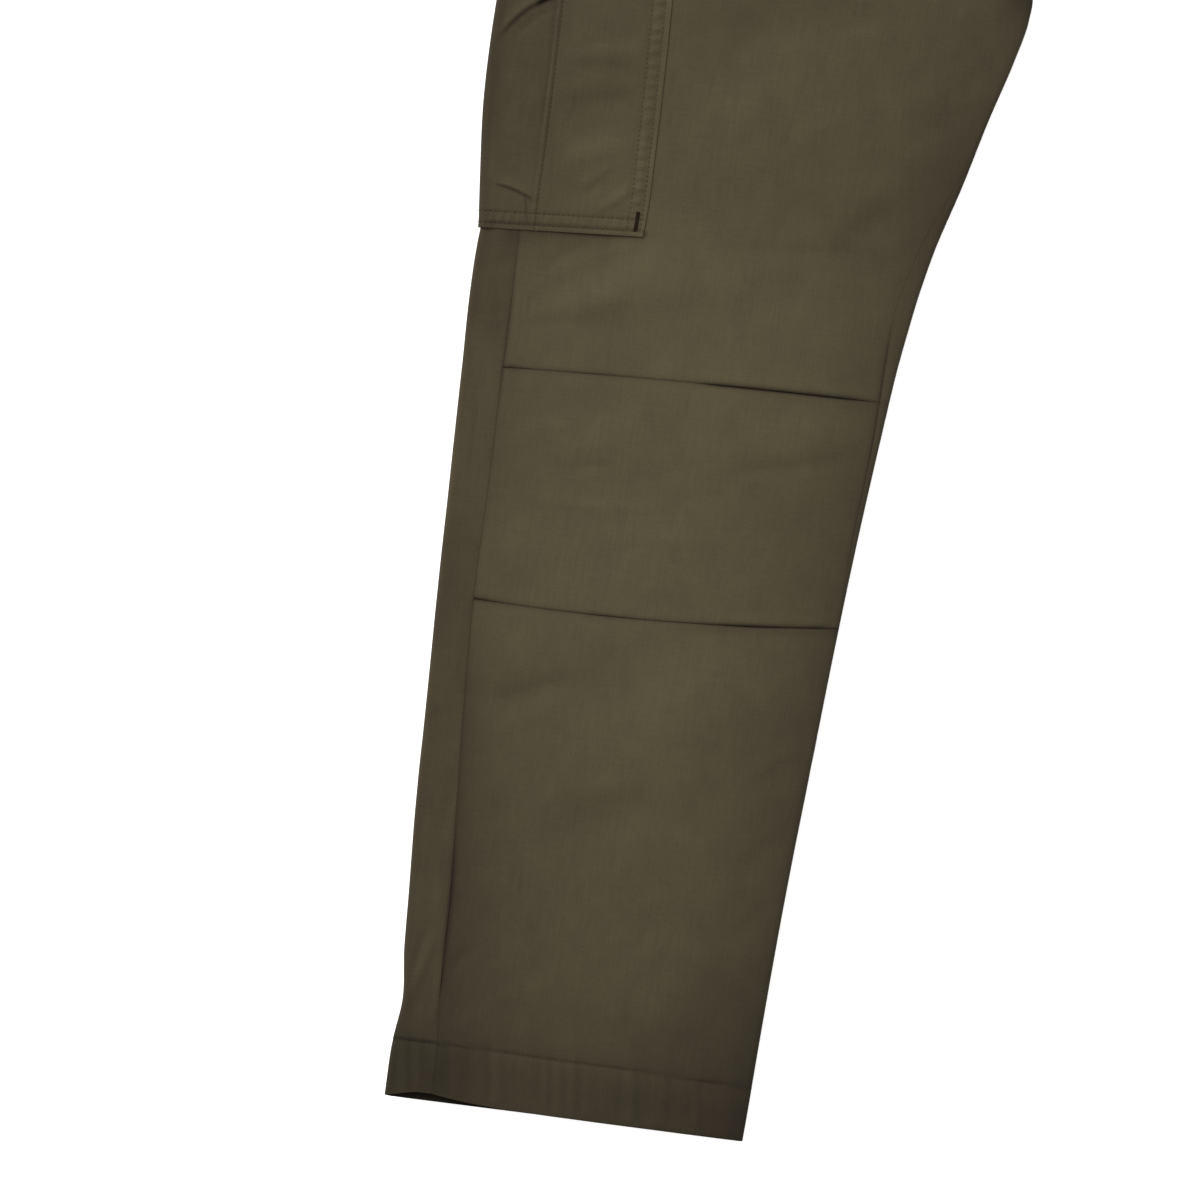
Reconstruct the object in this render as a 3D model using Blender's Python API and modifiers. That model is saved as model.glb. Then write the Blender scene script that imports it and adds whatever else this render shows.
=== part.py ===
"""Cargo pants, folded in half lengthwise along the centre front and laid flat, front side up.

The right leg lies on top as a flattened tube of cloth; the left leg lies under it.
X runs across the leg from the outer to the inner side, Y from the hem to the waist and Z up.
Sizes in the tables are millimetres; MM turns them into metres.
"""

import bmesh
import bpy
import numpy as np

MM = 0.001

# Cloth and how it lies, in millimetres
WALL = 1.2  # a leg panel with the air it traps
BAND_WALL = 1.8  # the waistband, which is doubled cloth
SEAM_GAP = 0.3  # between pieces that are sewn together
ROUND_GAP = 0.9  # more where the inseam crosses the rounded fold, inside which the two edges come closer
LAY_GAP = 0.4  # between a piece and what it lies on
UNDER_LEG = 8.0  # height of the hidden left leg's layers
TUBE = 4.4  # height of the right leg where it lies flattest
CROWN = 0.8  # how much more the middle of the leg stands up
ROUND = 3.0  # how far in from its edge a folded edge is round
UNDER_INSET = 2.0  # how far the hidden leg stays inside the top one
UNDER_HEM = 5.0  # how far its hem stays behind the top one
EDGE_GROOVE = 2.2  # depth of the grooves between the hidden leg's layers
STRIP_HEM_RISE = 4.2  # the back's hem lifts this much from the outer fold to the outseam
HEM_RAISE = 0.4  # the turned-up hem is thicker than the leg
BAND_RAISE = 0.5  # and so is the waistband
SEAM_DIP = 0.7  # how far the cloth rolls down at a seam
SEAM_ROLL = 4.0  # and how far from the seam that starts

# Outline of the folded pants from the hem up: edges of the leg, the outseam, which has rolled onto the
# front, and how far the inseam lies in from the inner fold (a minus is under the fold)
OUTLINE_COLUMNS = ("level", "outer", "outseam", "inner", "tuck")
OUTLINE = (
    (-10, -114.0, -84.5, 111.6, -5.5),
    (30, -115.0, -87.0, 111.6, -5.5),
    (55, -113.4, -90.2, 111.4, -5.5),
    (86, -117.8, -92.5, 111.3, -5.5),
    (120, -121.0, -94.6, 111.3, -5.5),
    (180, -126.8, -100.9, 111.9, -5.5),
    (240, -131.0, -107.0, 113.3, -5.0),
    (310, -136.3, -112.9, 114.8, 0.5),
    (370, -140.2, -115.5, 116.7, 4.0),
    (455, -145.8, -120.0, 120.8, 6.0),
    (500, -148.8, -122.0, 123.6, 9.6),
    (528, -149.5, -123.7, 126.5, 12.6),
    (541, -149.3, -124.4, 128.0, 12.7),
    (552, -150.8, -125.0, 129.6, 12.2),
    (570, -153.4, -126.0, 132.6, 11.0),
    (618, -159.6, -129.0, 143.8, 5.5),
    (660, -162.0, -131.0, 152.5, 2.0),
    (700, -162.6, -132.5, 162.0, -1.0),
    (725, -162.8, -133.5, 166.4, -3.0),
    (742, -163.0, -134.0, 166.0, -4.2),
    (756, -163.0, -134.5, 159.5, -5.0),
    (772, -163.0, -135.0, 147.5, -6.0),
    (800, -162.6, -135.0, 129.5, -6.0),
    (845, -160.0, -133.0, 113.0, -6.0),
    (900, -154.0, -127.5, 104.0, -6.0),
    (960, -143.5, -117.5, 96.5, -6.0),
    (1030, -128.0, -102.5, 88.5, -6.0),
)

# Seams and edges that cross the leg: height at the middle, slope, and how far the ends bow up, at 100 mm
CROSS_COLUMNS = ("level", "slope", "bow")
CROSS = {
    "hem": (-0.7, 0.048, 0.0),
    "front hem": (0.0, 0.021, 0.6),
    "hem stitch": (35.7, 0.034, -1.0),
    "lower knee": (315.8, 0.092, 3.5),
    "upper knee": (466.5, 0.080, -0.4),
    "pocket bottom": (556.0, 0.127, 0.0),
    "flap edge": (716.0, 0.127, 0.0),
    "pocket mouth": (768.0, 0.110, 0.0),
    "flap top": (790.0, 0.110, 0.0),
    "fly end": (818.0, 0.0, 0.0),
    "front waist seam": (966.0, -0.020, 0.0),
    "back waist seam": (978.0, 0.050, 0.0),
    "front waist": (1004.0, -0.020, 0.0),
    "back waist": (1016.0, 0.050, 0.0),
}

# Cargo pocket: how far it reaches round the leg from the outer fold, and where the middle of what shows is
POCKET_UNDER = 88.0
POCKET_REACH = (-POCKET_UNDER, -60.0, -32.0)
POCKET_MIDDLE = -105.0
POCKET_FRONT_COLUMNS = ("level", "edge")
POCKET_FRONT = ((540, -47.0), (570, -47.2), (600, -48.9), (640, -51.5), (700, -56.0), (790, -63.0))
PLEAT_COLUMNS = ("level", "line")
PLEAT = ((540, -118.5), (560, -119.5), (600, -121.0), (644, -123.2), (688, -125.8), (790, -130.0))
POCKET_PUFF = 1.1
PLEAT_STEP = 0.9
FLAP_SIDE = 3.0  # the flap is this much wider than the bag

# Closing at the waist
FLY_ON_TOP = 15.0
FLY_UNDER = 5.0
BAND_END_ON_TOP = 26.0
BUTTON_RADIUS = 8.5
BUTTON_HEIGHT = 3.0
BUTTON_FROM_FOLD = 13.0

# Levels where the sections are taken: closer together where the outline bends
STATIONS = (14, 33, 39, 55, 86, 120, 180, 240, 280, 305, 335, 360, 400, 450, 500, 528, 545, 566, 590,
            618, 640, 655, 667, 679, 691, 703, 714, 724, 733, 741, 749, 757, 766, 780, 800, 820, 850, 885,
            920, 950)
FRONT_STEP = 17.0  # the front's sections are at most this far apart, so that they take the folds

# Soft folds of the top cloth: place, direction from the X axis in degrees, half length, half width, height
FOLD_COLUMNS = ("x", "level", "turn", "long", "wide", "high")
FOLDS = (
    (-83, 524, 37, 46, 11, 1.0),
    (-61, 499, 16, 60, 13, -0.8),
    (97, 597, 34, 44, 10, -0.8),
    (80, 608, 38, 42, 10, 0.8),
    (60, 618, 43, 34, 10, -0.5),
    (79, 433, 17, 42, 11, -0.7),
    (-58, 401, 21, 30, 10, 0.6),
    (-75, 371, 7, 40, 12, -0.6),
    (-68, 260, 24, 36, 12, -0.8),
    (-60, 236, 24, 44, 14, 0.6),
    (20, 215, 35, 100, 22, -0.7),
    (-50, 110, -60, 80, 20, -0.7),
    (40, 95, 70, 70, 22, 0.6),
    (92, 190, 82, 80, 12, -0.6),
    (60, 700, 30, 80, 18, 0.7),
    (20, 860, 60, 90, 18, -0.7),
    (-70, 890, 75, 70, 16, 0.7),
)

OLIVE = (0.095, 0.080, 0.050, 1.0)
OLIVE_DARK = (0.070, 0.059, 0.038, 1.0)
BUTTON_BROWN = (0.040, 0.033, 0.022, 1.0)

ORIGIN_LEVEL = 507.0  # the origin lies halfway up the folded pants, on the surface they rest on
QUARTER = 0.5 * np.pi * np.sqrt((ROUND**2 + (TUBE / 2) ** 2) / 2)
TUBE_BOTTOM = UNDER_LEG + LAY_GAP
ON_LEG = LAY_GAP + WALL  # outer side of a piece that lies on the leg


def column(table, names, wanted, at):
    """Value of a table's column at any level, on a smooth curve through its rows."""
    rows = np.array(table, float)
    level, value = rows[:, 0], rows[:, names.index(wanted)]
    slope = np.gradient(value, level)
    at = np.clip(at, level[0], level[-1])
    row = np.clip(np.searchsorted(level, at) - 1, 0, len(level) - 2)
    step = level[row + 1] - level[row]
    t = (at - level[row]) / step
    return (
        (1 + 2 * t) * (1 - t) ** 2 * value[row]
        + t * (1 - t) ** 2 * step * slope[row]
        + t**2 * (3 - 2 * t) * value[row + 1]
        + t**2 * (t - 1) * step * slope[row + 1]
    )


def outline(wanted, level):
    return column(OUTLINE, OUTLINE_COLUMNS, wanted, level)


def cross(name, x):
    """Level of a cross seam at a place across the leg."""
    seam = dict(zip(CROSS_COLUMNS, CROSS[name]))
    return seam["level"] + seam["slope"] * x + seam["bow"] * (x / 100) ** 2


def ease(low, high, value):
    """0 below low, 1 above high, and a smooth step between."""
    t = np.clip((value - low) / (high - low), 0, 1)
    return t * t * (3 - 2 * t)


def between(low, high, value, soft):
    """1 between low and high, falling to 0 over the soft width outside them."""
    return ease(low - soft, low, value) * (1 - ease(high, high + soft, value))


def seam_dips(x, level):
    """How far the top cloth rolls down beside the seams."""
    past_outseam = x - outline("outseam", level)
    dip = np.exp(-((past_outseam / SEAM_ROLL) ** 2))
    on_front = ease(-2, 2, past_outseam) * ease(ROUND, 12, outline("inner", level) - x)
    for name in ("lower knee", "upper knee"):
        dip = np.maximum(dip, on_front * np.exp(-(((level - cross(name, x)) / SEAM_ROLL) ** 2)))
    return SEAM_DIP * dip


def folds(x, level):
    """Height of the soft folds: each is a long low mound or trough, round in section."""
    height = np.zeros(np.broadcast(x, level).shape)
    for row in FOLDS:
        fold = dict(zip(FOLD_COLUMNS, row))
        angle = np.radians(fold["turn"])
        from_x, from_y = x - fold["x"], level - fold["level"]
        along = (from_x * np.cos(angle) + from_y * np.sin(angle)) / fold["long"]
        aside = (from_y * np.cos(angle) - from_x * np.sin(angle)) / fold["wide"]
        height = height + fold["high"] * np.exp(-(along**2) - aside**2)
    return height


def pocket_front(level):
    return column(POCKET_FRONT, POCKET_FRONT_COLUMNS, "edge", level)


def under_pocket(x, level, margin):
    """1 where the cargo pocket lies on the leg, falling to 0 outside it."""
    height = between(cross("pocket bottom", x), cross("flap top", x), level, margin)
    return height * (1 - ease(pocket_front(level), pocket_front(level) + margin, x))


def tube_top(x, level):
    """Height of the right leg's upper surface, away from its rounded edges."""
    outer, inner = outline("outer", level), outline("inner", level)
    across = np.clip((x - outer) / (inner - outer), 0, 1)
    beside_fold = 4 + (FLY_ON_TOP + 6) * ease(740, 780, level)
    clear = ease(4, 30, x - outer) * ease(beside_fold, beside_fold + 26, inner - x)
    clear = clear * (1 - under_pocket(x, level, 25))
    clear = clear * (1 - ease(930, 960, level))
    crown = CROWN * np.sin(np.pi * across) ** 0.7
    hem = HEM_RAISE * (1 - ease(-1, 1, level - cross("hem stitch", x)))
    return TUBE_BOTTOM + TUBE + crown + hem + folds(x, level) * clear - seam_dips(x, level)


def girth_parts(level):
    """Girth from the outer fold to the inner fold, and all the way round."""
    flat = outline("inner", level) - outline("outer", level) - 2 * ROUND
    return flat + 2 * QUARTER, 2 * flat + 4 * QUARTER


def around(level, girth, out):
    """Point on the right leg's surface: girth runs from the outer fold over the top; out is how far off it.

    The section is two flats joined by half rounds. Across a flat the height is the tube's top or bottom;
    on a round it is the sine of the angle between them.
    """
    half, turn = girth_parts(level)
    low_x = outline("outer", level) + ROUND
    high_x = outline("inner", level) - ROUND
    g = np.mod(girth + QUARTER, turn)
    on_outer = g < 2 * QUARTER
    on_top = (g >= 2 * QUARTER) & (g < half)
    on_inner = (g >= half) & (g < half + 2 * QUARTER)
    angle = np.where(on_outer, g / (2 * QUARTER), 1 - (g - half) / (2 * QUARTER)) * np.pi - np.pi / 2
    flat_x = np.where(on_top, low_x + g - 2 * QUARTER, high_x - (g - half - 2 * QUARTER))
    rise = np.where(on_outer | on_inner, np.sin(angle), np.where(on_top, 1.0, -1.0))
    bulge = np.where(on_outer | on_inner, np.cos(angle), 0.0) * (ROUND + out)
    x = np.where(on_outer, low_x - bulge, np.where(on_inner, high_x + bulge, flat_x))
    top = tube_top(np.clip(x, low_x, high_x), level)
    middle, rise_by = (top + TUBE_BOTTOM) / 2, (top - TUBE_BOTTOM) / 2
    return x, level, middle + rise * (rise_by + out)


def outseam_girth(level):
    return outline("outseam", level) - outline("outer", level) - ROUND + QUARTER


def inseam_girth(level):
    half, _ = girth_parts(level)
    return half - outline("tuck", level)


def inseam_gap(level):
    """Half the gap at the inseam: wider where the seam lies on the rounded fold."""
    return SEAM_GAP / 2 + ROUND_GAP / 2 * np.exp(-((outline("tuck", level) / 5.5) ** 2))


def new_object(name, mesh, material):
    piece = bpy.data.objects.new(name, mesh)
    PARTS.objects.link(piece)
    mesh.materials.append(material)
    return piece


def cloth(name, columns, rows, place, material, wall=WALL):
    """A wall of cloth: a flat grid laid out by place(u, v), thickened inwards."""
    grid = bmesh.new()
    bmesh.ops.create_grid(grid, x_segments=len(columns) - 1, y_segments=len(rows) - 1, size=0.5)
    flat = np.array([vertex.co[:] for vertex in grid.verts])
    steps_u = np.rint((flat[:, 0] + 0.5) * (len(columns) - 1)).astype(int)
    steps_v = np.rint((flat[:, 1] + 0.5) * (len(rows) - 1)).astype(int)
    x, y, z = place(np.asarray(columns, float)[steps_u], np.asarray(rows, float)[steps_v])
    for vertex, point in zip(grid.verts, np.column_stack((x, y - ORIGIN_LEVEL, z)) * MM):
        vertex.co = point
    mesh = bpy.data.meshes.new(name)
    grid.to_mesh(mesh)
    grid.free()
    mesh.shade_smooth()
    piece = new_object(name, mesh, material)
    thick = piece.modifiers.new("Cloth", "SOLIDIFY")
    thick.thickness = wall * MM
    thick.offset = -1
    thick.use_even_offset = True
    return piece


def panel_columns(count):
    """Places across a front panel: close together where it rolls at its seams."""
    middle = np.linspace(0.07, 0.93, count)
    return np.concatenate(([0, 0.018], middle, [0.963, 0.975, 0.987, 0.9975, 1]))


def rows_at(low, high, most=100.0):
    """Shares of the way between two cross edges, one a row: near both, at the stations, and most apart."""
    start, end = CROSS[low][0], CROSS[high][0]
    roll = min(SEAM_ROLL, (end - start) / 4)
    inside = [level for level in STATIONS if start + 2 * SEAM_ROLL < level < end - 2 * SEAM_ROLL]
    coarse = [start + roll, *inside, end - roll]
    levels = [start]
    for low_level, high_level in zip(coarse, coarse[1:]):
        count = int(np.ceil((high_level - low_level) / most))
        levels += list(np.linspace(low_level, high_level, count + 1)[:-1])
    levels += [end - roll, end]
    return (np.array(levels) - start) / (end - start)


def front_panel(name, low, high, columns, material, out=0.0, wall=WALL):
    """A piece of the right front, from the outseam to the inseam, between two cross seams."""
    first = CROSS[low][0] + SEAM_GAP / 2
    last = CROSS[high][0] - SEAM_GAP / 2

    def seam(cross_name, middle, u):
        x = (1 - u) * outline("outseam", middle) + u * (outline("inner", middle) - 2)
        return cross(cross_name, x) - CROSS[cross_name][0] + middle

    def place(u, v):
        level = (1 - v) * seam(low, first, u) + v * seam(high, last, u)
        start = outseam_girth(level) + SEAM_GAP / 2
        end = inseam_girth(level) - inseam_gap(level)
        return around(level, start + u * (end - start), out)

    return cloth(name, columns, rows_at(low, high, FRONT_STEP), place, material, wall)


def back_girth(level, spread):
    """Girth of the back's columns: inseam, inner fold, underside, outer fold, then up to the outseam."""
    half, turn = girth_parts(level)
    arc = np.linspace(-QUARTER, QUARTER, 7)
    flat = np.linspace(0, 1, 6)[1:-1]
    start = inseam_girth(level) + inseam_gap(level)
    under_start, under_end = half + QUARTER, turn - QUARTER
    strip = outseam_girth(level) - SEAM_GAP / 2
    places = [start]
    places += [half + a for a in arc]
    places += [under_start + f * (under_end - under_start) for f in flat]
    places += [turn + a for a in arc]
    places += [turn + QUARTER + f * (strip - QUARTER) for f in (0.4, 0.82, 1.0)]
    kept = np.array([np.maximum(place, start + 0.5 * i) for i, place in enumerate(places)])
    return kept[spread, np.arange(len(level))]


BACK_COLUMNS = 1 + 7 + 4 + 7 + 3


def back_piece(name, low, high, material, out=0.0, wall=WALL, strip_rise=0.0):
    """A piece of the right back, which wraps both edges of the leg, between two cross edges."""

    def place(u, v):
        spread = np.rint(u).astype(int)
        rough_level = CROSS[low][0] + v * (CROSS[high][0] - CROSS[low][0])
        rough_girth = back_girth(rough_level, spread)
        x, _, _ = around(rough_level, rough_girth, 0.0)
        _, turn = girth_parts(rough_level)
        low_edge = cross(low, x) + SEAM_GAP / 2 + strip_rise * ease(0, 26, rough_girth - turn)
        level = (1 - v) * low_edge + v * (cross(high, x) - SEAM_GAP / 2)
        return around(level, back_girth(level, spread), out)

    return cloth(name, np.arange(BACK_COLUMNS), rows_at(low, high), place, material, wall)


def pocket_girth(level, edge, on_top, spread):
    """Girth of a pocket piece's columns: under the leg, round the outer fold, then on top to its edge."""
    front = edge - outline("outer", level) - ROUND + QUARTER
    arc = np.linspace(-QUARTER, QUARTER, 7)
    fixed = np.concatenate((POCKET_REACH, arc[:-1]))
    places = np.concatenate(
        (np.repeat(fixed[:, None], len(level), 1), QUARTER + on_top[:, None] * (front - QUARTER)[None, :])
    )
    return places[spread, np.arange(len(level))], front


def pocket_piece(name, low, high, wider, on_top, rows, lift, material):
    """A piece of the pocket between two cross edges; lift gives its height off the leg."""

    def place(u, v):
        rough = (1 - v) * cross(low, POCKET_MIDDLE) + v * cross(high, POCKET_MIDDLE)
        spread = np.rint(u).astype(int)
        girth, front = pocket_girth(rough, pocket_front(rough) + wider, on_top, spread)
        x, _, _ = around(rough, girth, 0.0)
        level = (1 - v) * cross(low, x) + v * cross(high, x)
        return around(level, girth, lift(x, level, girth, front, v))

    columns = np.arange(len(POCKET_REACH) + 6 + len(on_top))
    return cloth(name, columns, rows, place, material)


def pocket_bag(material):
    """The bag lies on the leg, puffed up a little, with a pleat along its outer side."""

    def lift(x, level, girth, front, v):
        inside = ease(0, 40, girth) * (1 - ease(-25, 0, girth - front))
        pleat = column(PLEAT, PLEAT_COLUMNS, "line", level)
        step = ease(-1, 3, x - pleat) * (girth > QUARTER) * (1 - ease(-20, 0, girth - front))
        return ON_LEG + POCKET_PUFF * inside * ease(0, 0.15, v) + PLEAT_STEP * step

    on_top = np.array([0.0, 0.1, 0.22, 0.32, 0.36, 0.45, 0.6, 0.75, 0.9, 1.0])
    rows = np.array([0, 0.06, 0.2, 0.4, 0.6, 0.8, 1])
    return pocket_piece("cargo_pocket_bag", "pocket bottom", "pocket mouth", 0, on_top, rows, lift, material)


def pocket_flap(material):
    """The flap covers the bag's mouth, wraps the outer fold with it, and settles on the leg above it."""

    def lift(x, level, girth, front, v):
        over_bag = ON_LEG + (POCKET_PUFF + PLEAT_STEP) * ease(-10, 20, girth)
        return ON_LEG + over_bag * (1 - ease(0.76, 0.98, v))

    on_top = np.linspace(0, 1, 6)
    rows = np.array([0, 0.3, 0.62, 0.76, 0.9, 1])
    return pocket_piece("cargo_pocket_flap", "flap edge", "flap top", FLAP_SIDE, on_top, rows, lift, material)


def fold_strip(name, low, high, on_top, under, out, material, wall=WALL):
    """A strip that comes round the centre-front fold from below and ends on top."""
    arc = np.linspace(-QUARTER, QUARTER, 7)

    def place(u, v):
        spread = np.rint(u).astype(int)
        rough = CROSS[low][0] + v * (CROSS[high][0] - CROSS[low][0])
        offsets = np.concatenate(([-on_top - QUARTER, -on_top / 2 - QUARTER], arc, [QUARTER + under]))
        half, _ = girth_parts(rough)
        x, _, _ = around(rough, half + offsets[spread], 0.0)
        level = (1 - v) * (cross(low, x) + SEAM_GAP) + v * (cross(high, x) - SEAM_GAP)
        half, _ = girth_parts(level)
        return around(level, half + offsets[spread], out)

    return cloth(name, np.arange(10), rows_at(low, high), place, material, wall)


def under_top(x, level):
    """Height of the hidden leg, which gives way where the pocket and the laps reach under the top leg."""
    outer, inner = outline("outer", level), outline("inner", level)
    beside = 1 - ease(POCKET_UNDER + 30, POCKET_UNDER + 60, x - outer)
    bag = between(cross("pocket bottom", x) - 20, cross("pocket mouth", x) + 20, level, 18) * beside
    flap = between(cross("flap edge", x) - 20, cross("flap top", x) + 20, level, 18) * beside
    laps = ease(755, 780, level) * (1 - ease(40, 70, inner - x))
    band = (BAND_RAISE + LAY_GAP) * ease(925, 950, level)
    return UNDER_LEG - (WALL + LAY_GAP) * (bag + flap) - (BAND_WALL + LAY_GAP) * laps - band


def under_leg(material):
    """The left leg's folded layers: a flat-bottomed solid whose edges show two layers."""
    lobes = np.linspace(0, 1, 11)
    across = np.concatenate(([0, 0.03], np.linspace(0.1, 0.9, 8), [0.97, 1]))
    levels = (UNDER_HEM, *STATIONS, 978, 1008)
    rings = [under_ring(level, lobes, across) for level in levels]
    body = bmesh.new()
    loops = [[body.verts.new(point * MM) for point in ring] for ring in rings]
    count = len(loops[0])
    for lower, upper in zip(loops, loops[1:]):
        for i in range(count):
            j = (i + 1) % count
            body.faces.new((lower[i], lower[j], upper[j], upper[i]))
    body.faces.new(loops[0][::-1])
    body.faces.new(loops[-1])
    bmesh.ops.recalc_face_normals(body, faces=body.faces)
    mesh = bpy.data.meshes.new("left_leg_folded_under")
    body.to_mesh(mesh)
    body.free()
    mesh.shade_smooth()
    return new_object("left_leg_folded_under", mesh, material)


def under_ring(station, lobes, across):
    """One section of the hidden leg: flat underneath, grooved at both edges, and level on top."""
    slope = CROSS["hem"][1] * (1 - ease(0, 300, station))
    low_x = outline("outer", station) + UNDER_INSET
    high_x = outline("inner", station) - UNDER_INSET
    inset = EDGE_GROOVE * (1 - np.abs(np.sin(2 * np.pi * lobes)) ** 0.7)
    top_x = low_x + EDGE_GROOVE + across * (high_x - low_x - 2 * EDGE_GROOVE)
    top_z = under_top(top_x, station + slope * top_x)
    left = np.column_stack((low_x + inset, lobes * top_z[0]))
    right = np.column_stack((high_x - inset, lobes * top_z[-1]))
    top = np.column_stack((top_x, top_z))
    section = np.concatenate((left[:-1], top, right[::-1][1:]))
    level = station + slope * section[:, 0]
    return np.column_stack((section[:, 0], level - ORIGIN_LEVEL, section[:, 1]))


def waist_button(material):
    """A flat round button with a softened rim, sewn to the waistband's end."""
    level = CROSS["front waist seam"][0] + 17
    half, _ = girth_parts(level)
    x, y, z = around(level, half - QUARTER - BUTTON_FROM_FOLD, 0.5 + LAY_GAP + BAND_WALL)
    disc = bmesh.new()
    bmesh.ops.create_cone(disc, cap_ends=True, segments=28, radius1=BUTTON_RADIUS * MM,
                          radius2=BUTTON_RADIUS * MM, depth=BUTTON_HEIGHT * MM)
    mesh = bpy.data.meshes.new("waist_button")
    disc.to_mesh(mesh)
    disc.free()
    button = new_object("waist_button", mesh, material)
    middle = (float(x), float(y) - ORIGIN_LEVEL, float(z) + LAY_GAP + BUTTON_HEIGHT / 2)
    button.location = [value * MM for value in middle]
    rim = button.modifiers.new("Rim", "BEVEL")
    rim.width = 0.8 * MM
    rim.segments = 2
    return button


def finish(name, colour, roughness):
    """A plain cloth or button material."""
    material = bpy.data.materials.new(name)
    material.use_nodes = True
    shader = material.node_tree.nodes["Principled BSDF"]
    shader.inputs["Base Color"].default_value = colour
    shader.inputs["Roughness"].default_value = roughness
    return material


def build():
    cotton = finish("olive_cotton", OLIVE, 0.9)
    pocket_cotton = finish("olive_cotton_pocket", OLIVE_DARK, 0.9)
    horn = finish("button_brown", BUTTON_BROWN, 0.45)
    columns = panel_columns(12)
    under_leg(cotton)
    back_piece("right_back_leg", "hem", "back waist seam", cotton, strip_rise=STRIP_HEM_RISE)
    front_panel("right_shin_front", "front hem", "lower knee", columns, cotton)
    front_panel("right_knee_front", "lower knee", "upper knee", columns, cotton)
    front_panel("right_thigh_front", "upper knee", "front waist seam", columns, cotton)
    pocket_bag(pocket_cotton)
    pocket_flap(pocket_cotton)
    fold_strip("fly_lap", "fly end", "front waist seam", FLY_ON_TOP, FLY_UNDER, ON_LEG, cotton)
    front_panel("waistband_right_front", "front waist seam", "front waist", columns, cotton,
                BAND_RAISE, BAND_WALL)
    back_piece("waistband_right_back", "back waist seam", "back waist", cotton, BAND_RAISE, BAND_WALL)
    fold_strip("waistband_left_end", "front waist seam", "front waist", BAND_END_ON_TOP, FLY_UNDER,
               BAND_RAISE + LAY_GAP + BAND_WALL, cotton, BAND_WALL)
    waist_button(horn)


for old in list(bpy.data.objects):
    bpy.data.objects.remove(old, do_unlink=True)
PARTS = bpy.data.collections.new("cargo_pants")
bpy.context.scene.collection.children.link(PARTS)
build()
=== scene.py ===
"""Olive cotton cargo pants, folded in half lengthwise and laid flat: cloth, sewing and button.

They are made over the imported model. Lengths are millimetres in the garment's own frame until a mesh is made:
x runs across the leg from the outer to the inner side, level runs from the hem to the waist, and height is
above the surface that the pants lie on. Girth is counted round the right leg, from its outer fold over the
top. The plain numbers in a formula of relief are its heights, places and widths, and in one of shade, shares
of the light.
"""

import math

import bmesh
import bpy
import numpy as np
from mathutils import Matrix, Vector


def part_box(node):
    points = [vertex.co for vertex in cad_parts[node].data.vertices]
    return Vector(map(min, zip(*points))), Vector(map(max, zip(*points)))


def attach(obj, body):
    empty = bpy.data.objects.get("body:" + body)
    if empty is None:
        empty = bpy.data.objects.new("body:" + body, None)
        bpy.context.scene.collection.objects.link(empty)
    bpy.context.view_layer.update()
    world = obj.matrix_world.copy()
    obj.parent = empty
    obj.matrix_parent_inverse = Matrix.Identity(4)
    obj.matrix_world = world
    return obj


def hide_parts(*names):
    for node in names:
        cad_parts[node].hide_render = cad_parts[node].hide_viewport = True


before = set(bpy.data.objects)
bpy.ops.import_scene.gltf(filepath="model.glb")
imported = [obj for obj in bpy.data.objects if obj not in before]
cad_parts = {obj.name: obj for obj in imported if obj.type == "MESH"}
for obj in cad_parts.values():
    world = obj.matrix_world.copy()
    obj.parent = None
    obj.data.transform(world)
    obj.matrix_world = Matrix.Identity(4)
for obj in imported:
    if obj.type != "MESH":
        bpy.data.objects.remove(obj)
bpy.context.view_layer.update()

MM = 0.001  # metres in a millimetre
ORIGIN_LEVEL = 507.0  # level of the model's origin

# How the cloth lies, as in the solids
WALL = 1.2  # of a leg panel
BAND_WALL = 1.8  # of the waistband
LAY_GAP = 0.4  # between two pieces that lie on each other
UNDER_LEG = 8.0  # height of the hidden leg
UNDER_INSET = 2.0  # how far its edges lie in from the top leg's
UNDER_HEM = 5.0  # level of its lower end
UNDER_WAIST = 1008.0  # level of its upper end
EDGE_GROOVE = 2.2  # depth of the groove between its two layers
TUBE = 4.4  # height of the top leg
TUBE_BOTTOM = UNDER_LEG + LAY_GAP  # height of its underside
CROWN = 0.8  # how much higher the top leg is along its middle
ROUND = 3.0  # how far in its rounded edges reach
QUARTER = 0.5 * np.pi * np.sqrt((ROUND**2 + (TUBE / 2) ** 2) / 2)  # girth of half a rounded edge
ON_LEG = LAY_GAP + WALL  # how far the outer side of a piece lying on the leg is off it
HEM_RAISE = 0.4  # how much the turned-up hem stands off the leg
BAND_RAISE = 0.5  # how much the waistband does
SEAM_GAP = 0.3  # between two pieces at a seam

# Where the drawn cloth is finer than the solids
SHELL = 1.0  # wall of a leg panel
HEM_SHELL = 1.7  # wall of the turned-up hem
BAND_SHELL = 1.6  # wall of the doubled waistband
UNDER_SHELL = 1.1  # wall of the left leg's cloth
UNDER_LOWER = 0.25  # how far its top lies below the solid's
UNDER_SLACK = 0.35  # how far its edges lie inside the solid's
SEAM_SLIT = 0.06  # half of what stays open between two pieces where a seam draws them together
STRIP_HEM_RISE = 5.2  # how far the hem rises on the strip beside the outseam
FRONT_HEM_RISE = 4.9  # how far the front's hem rises at the outseam
FRONT_HEM_REACH = 30.0  # how far across the front that rise falls to a third

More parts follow.
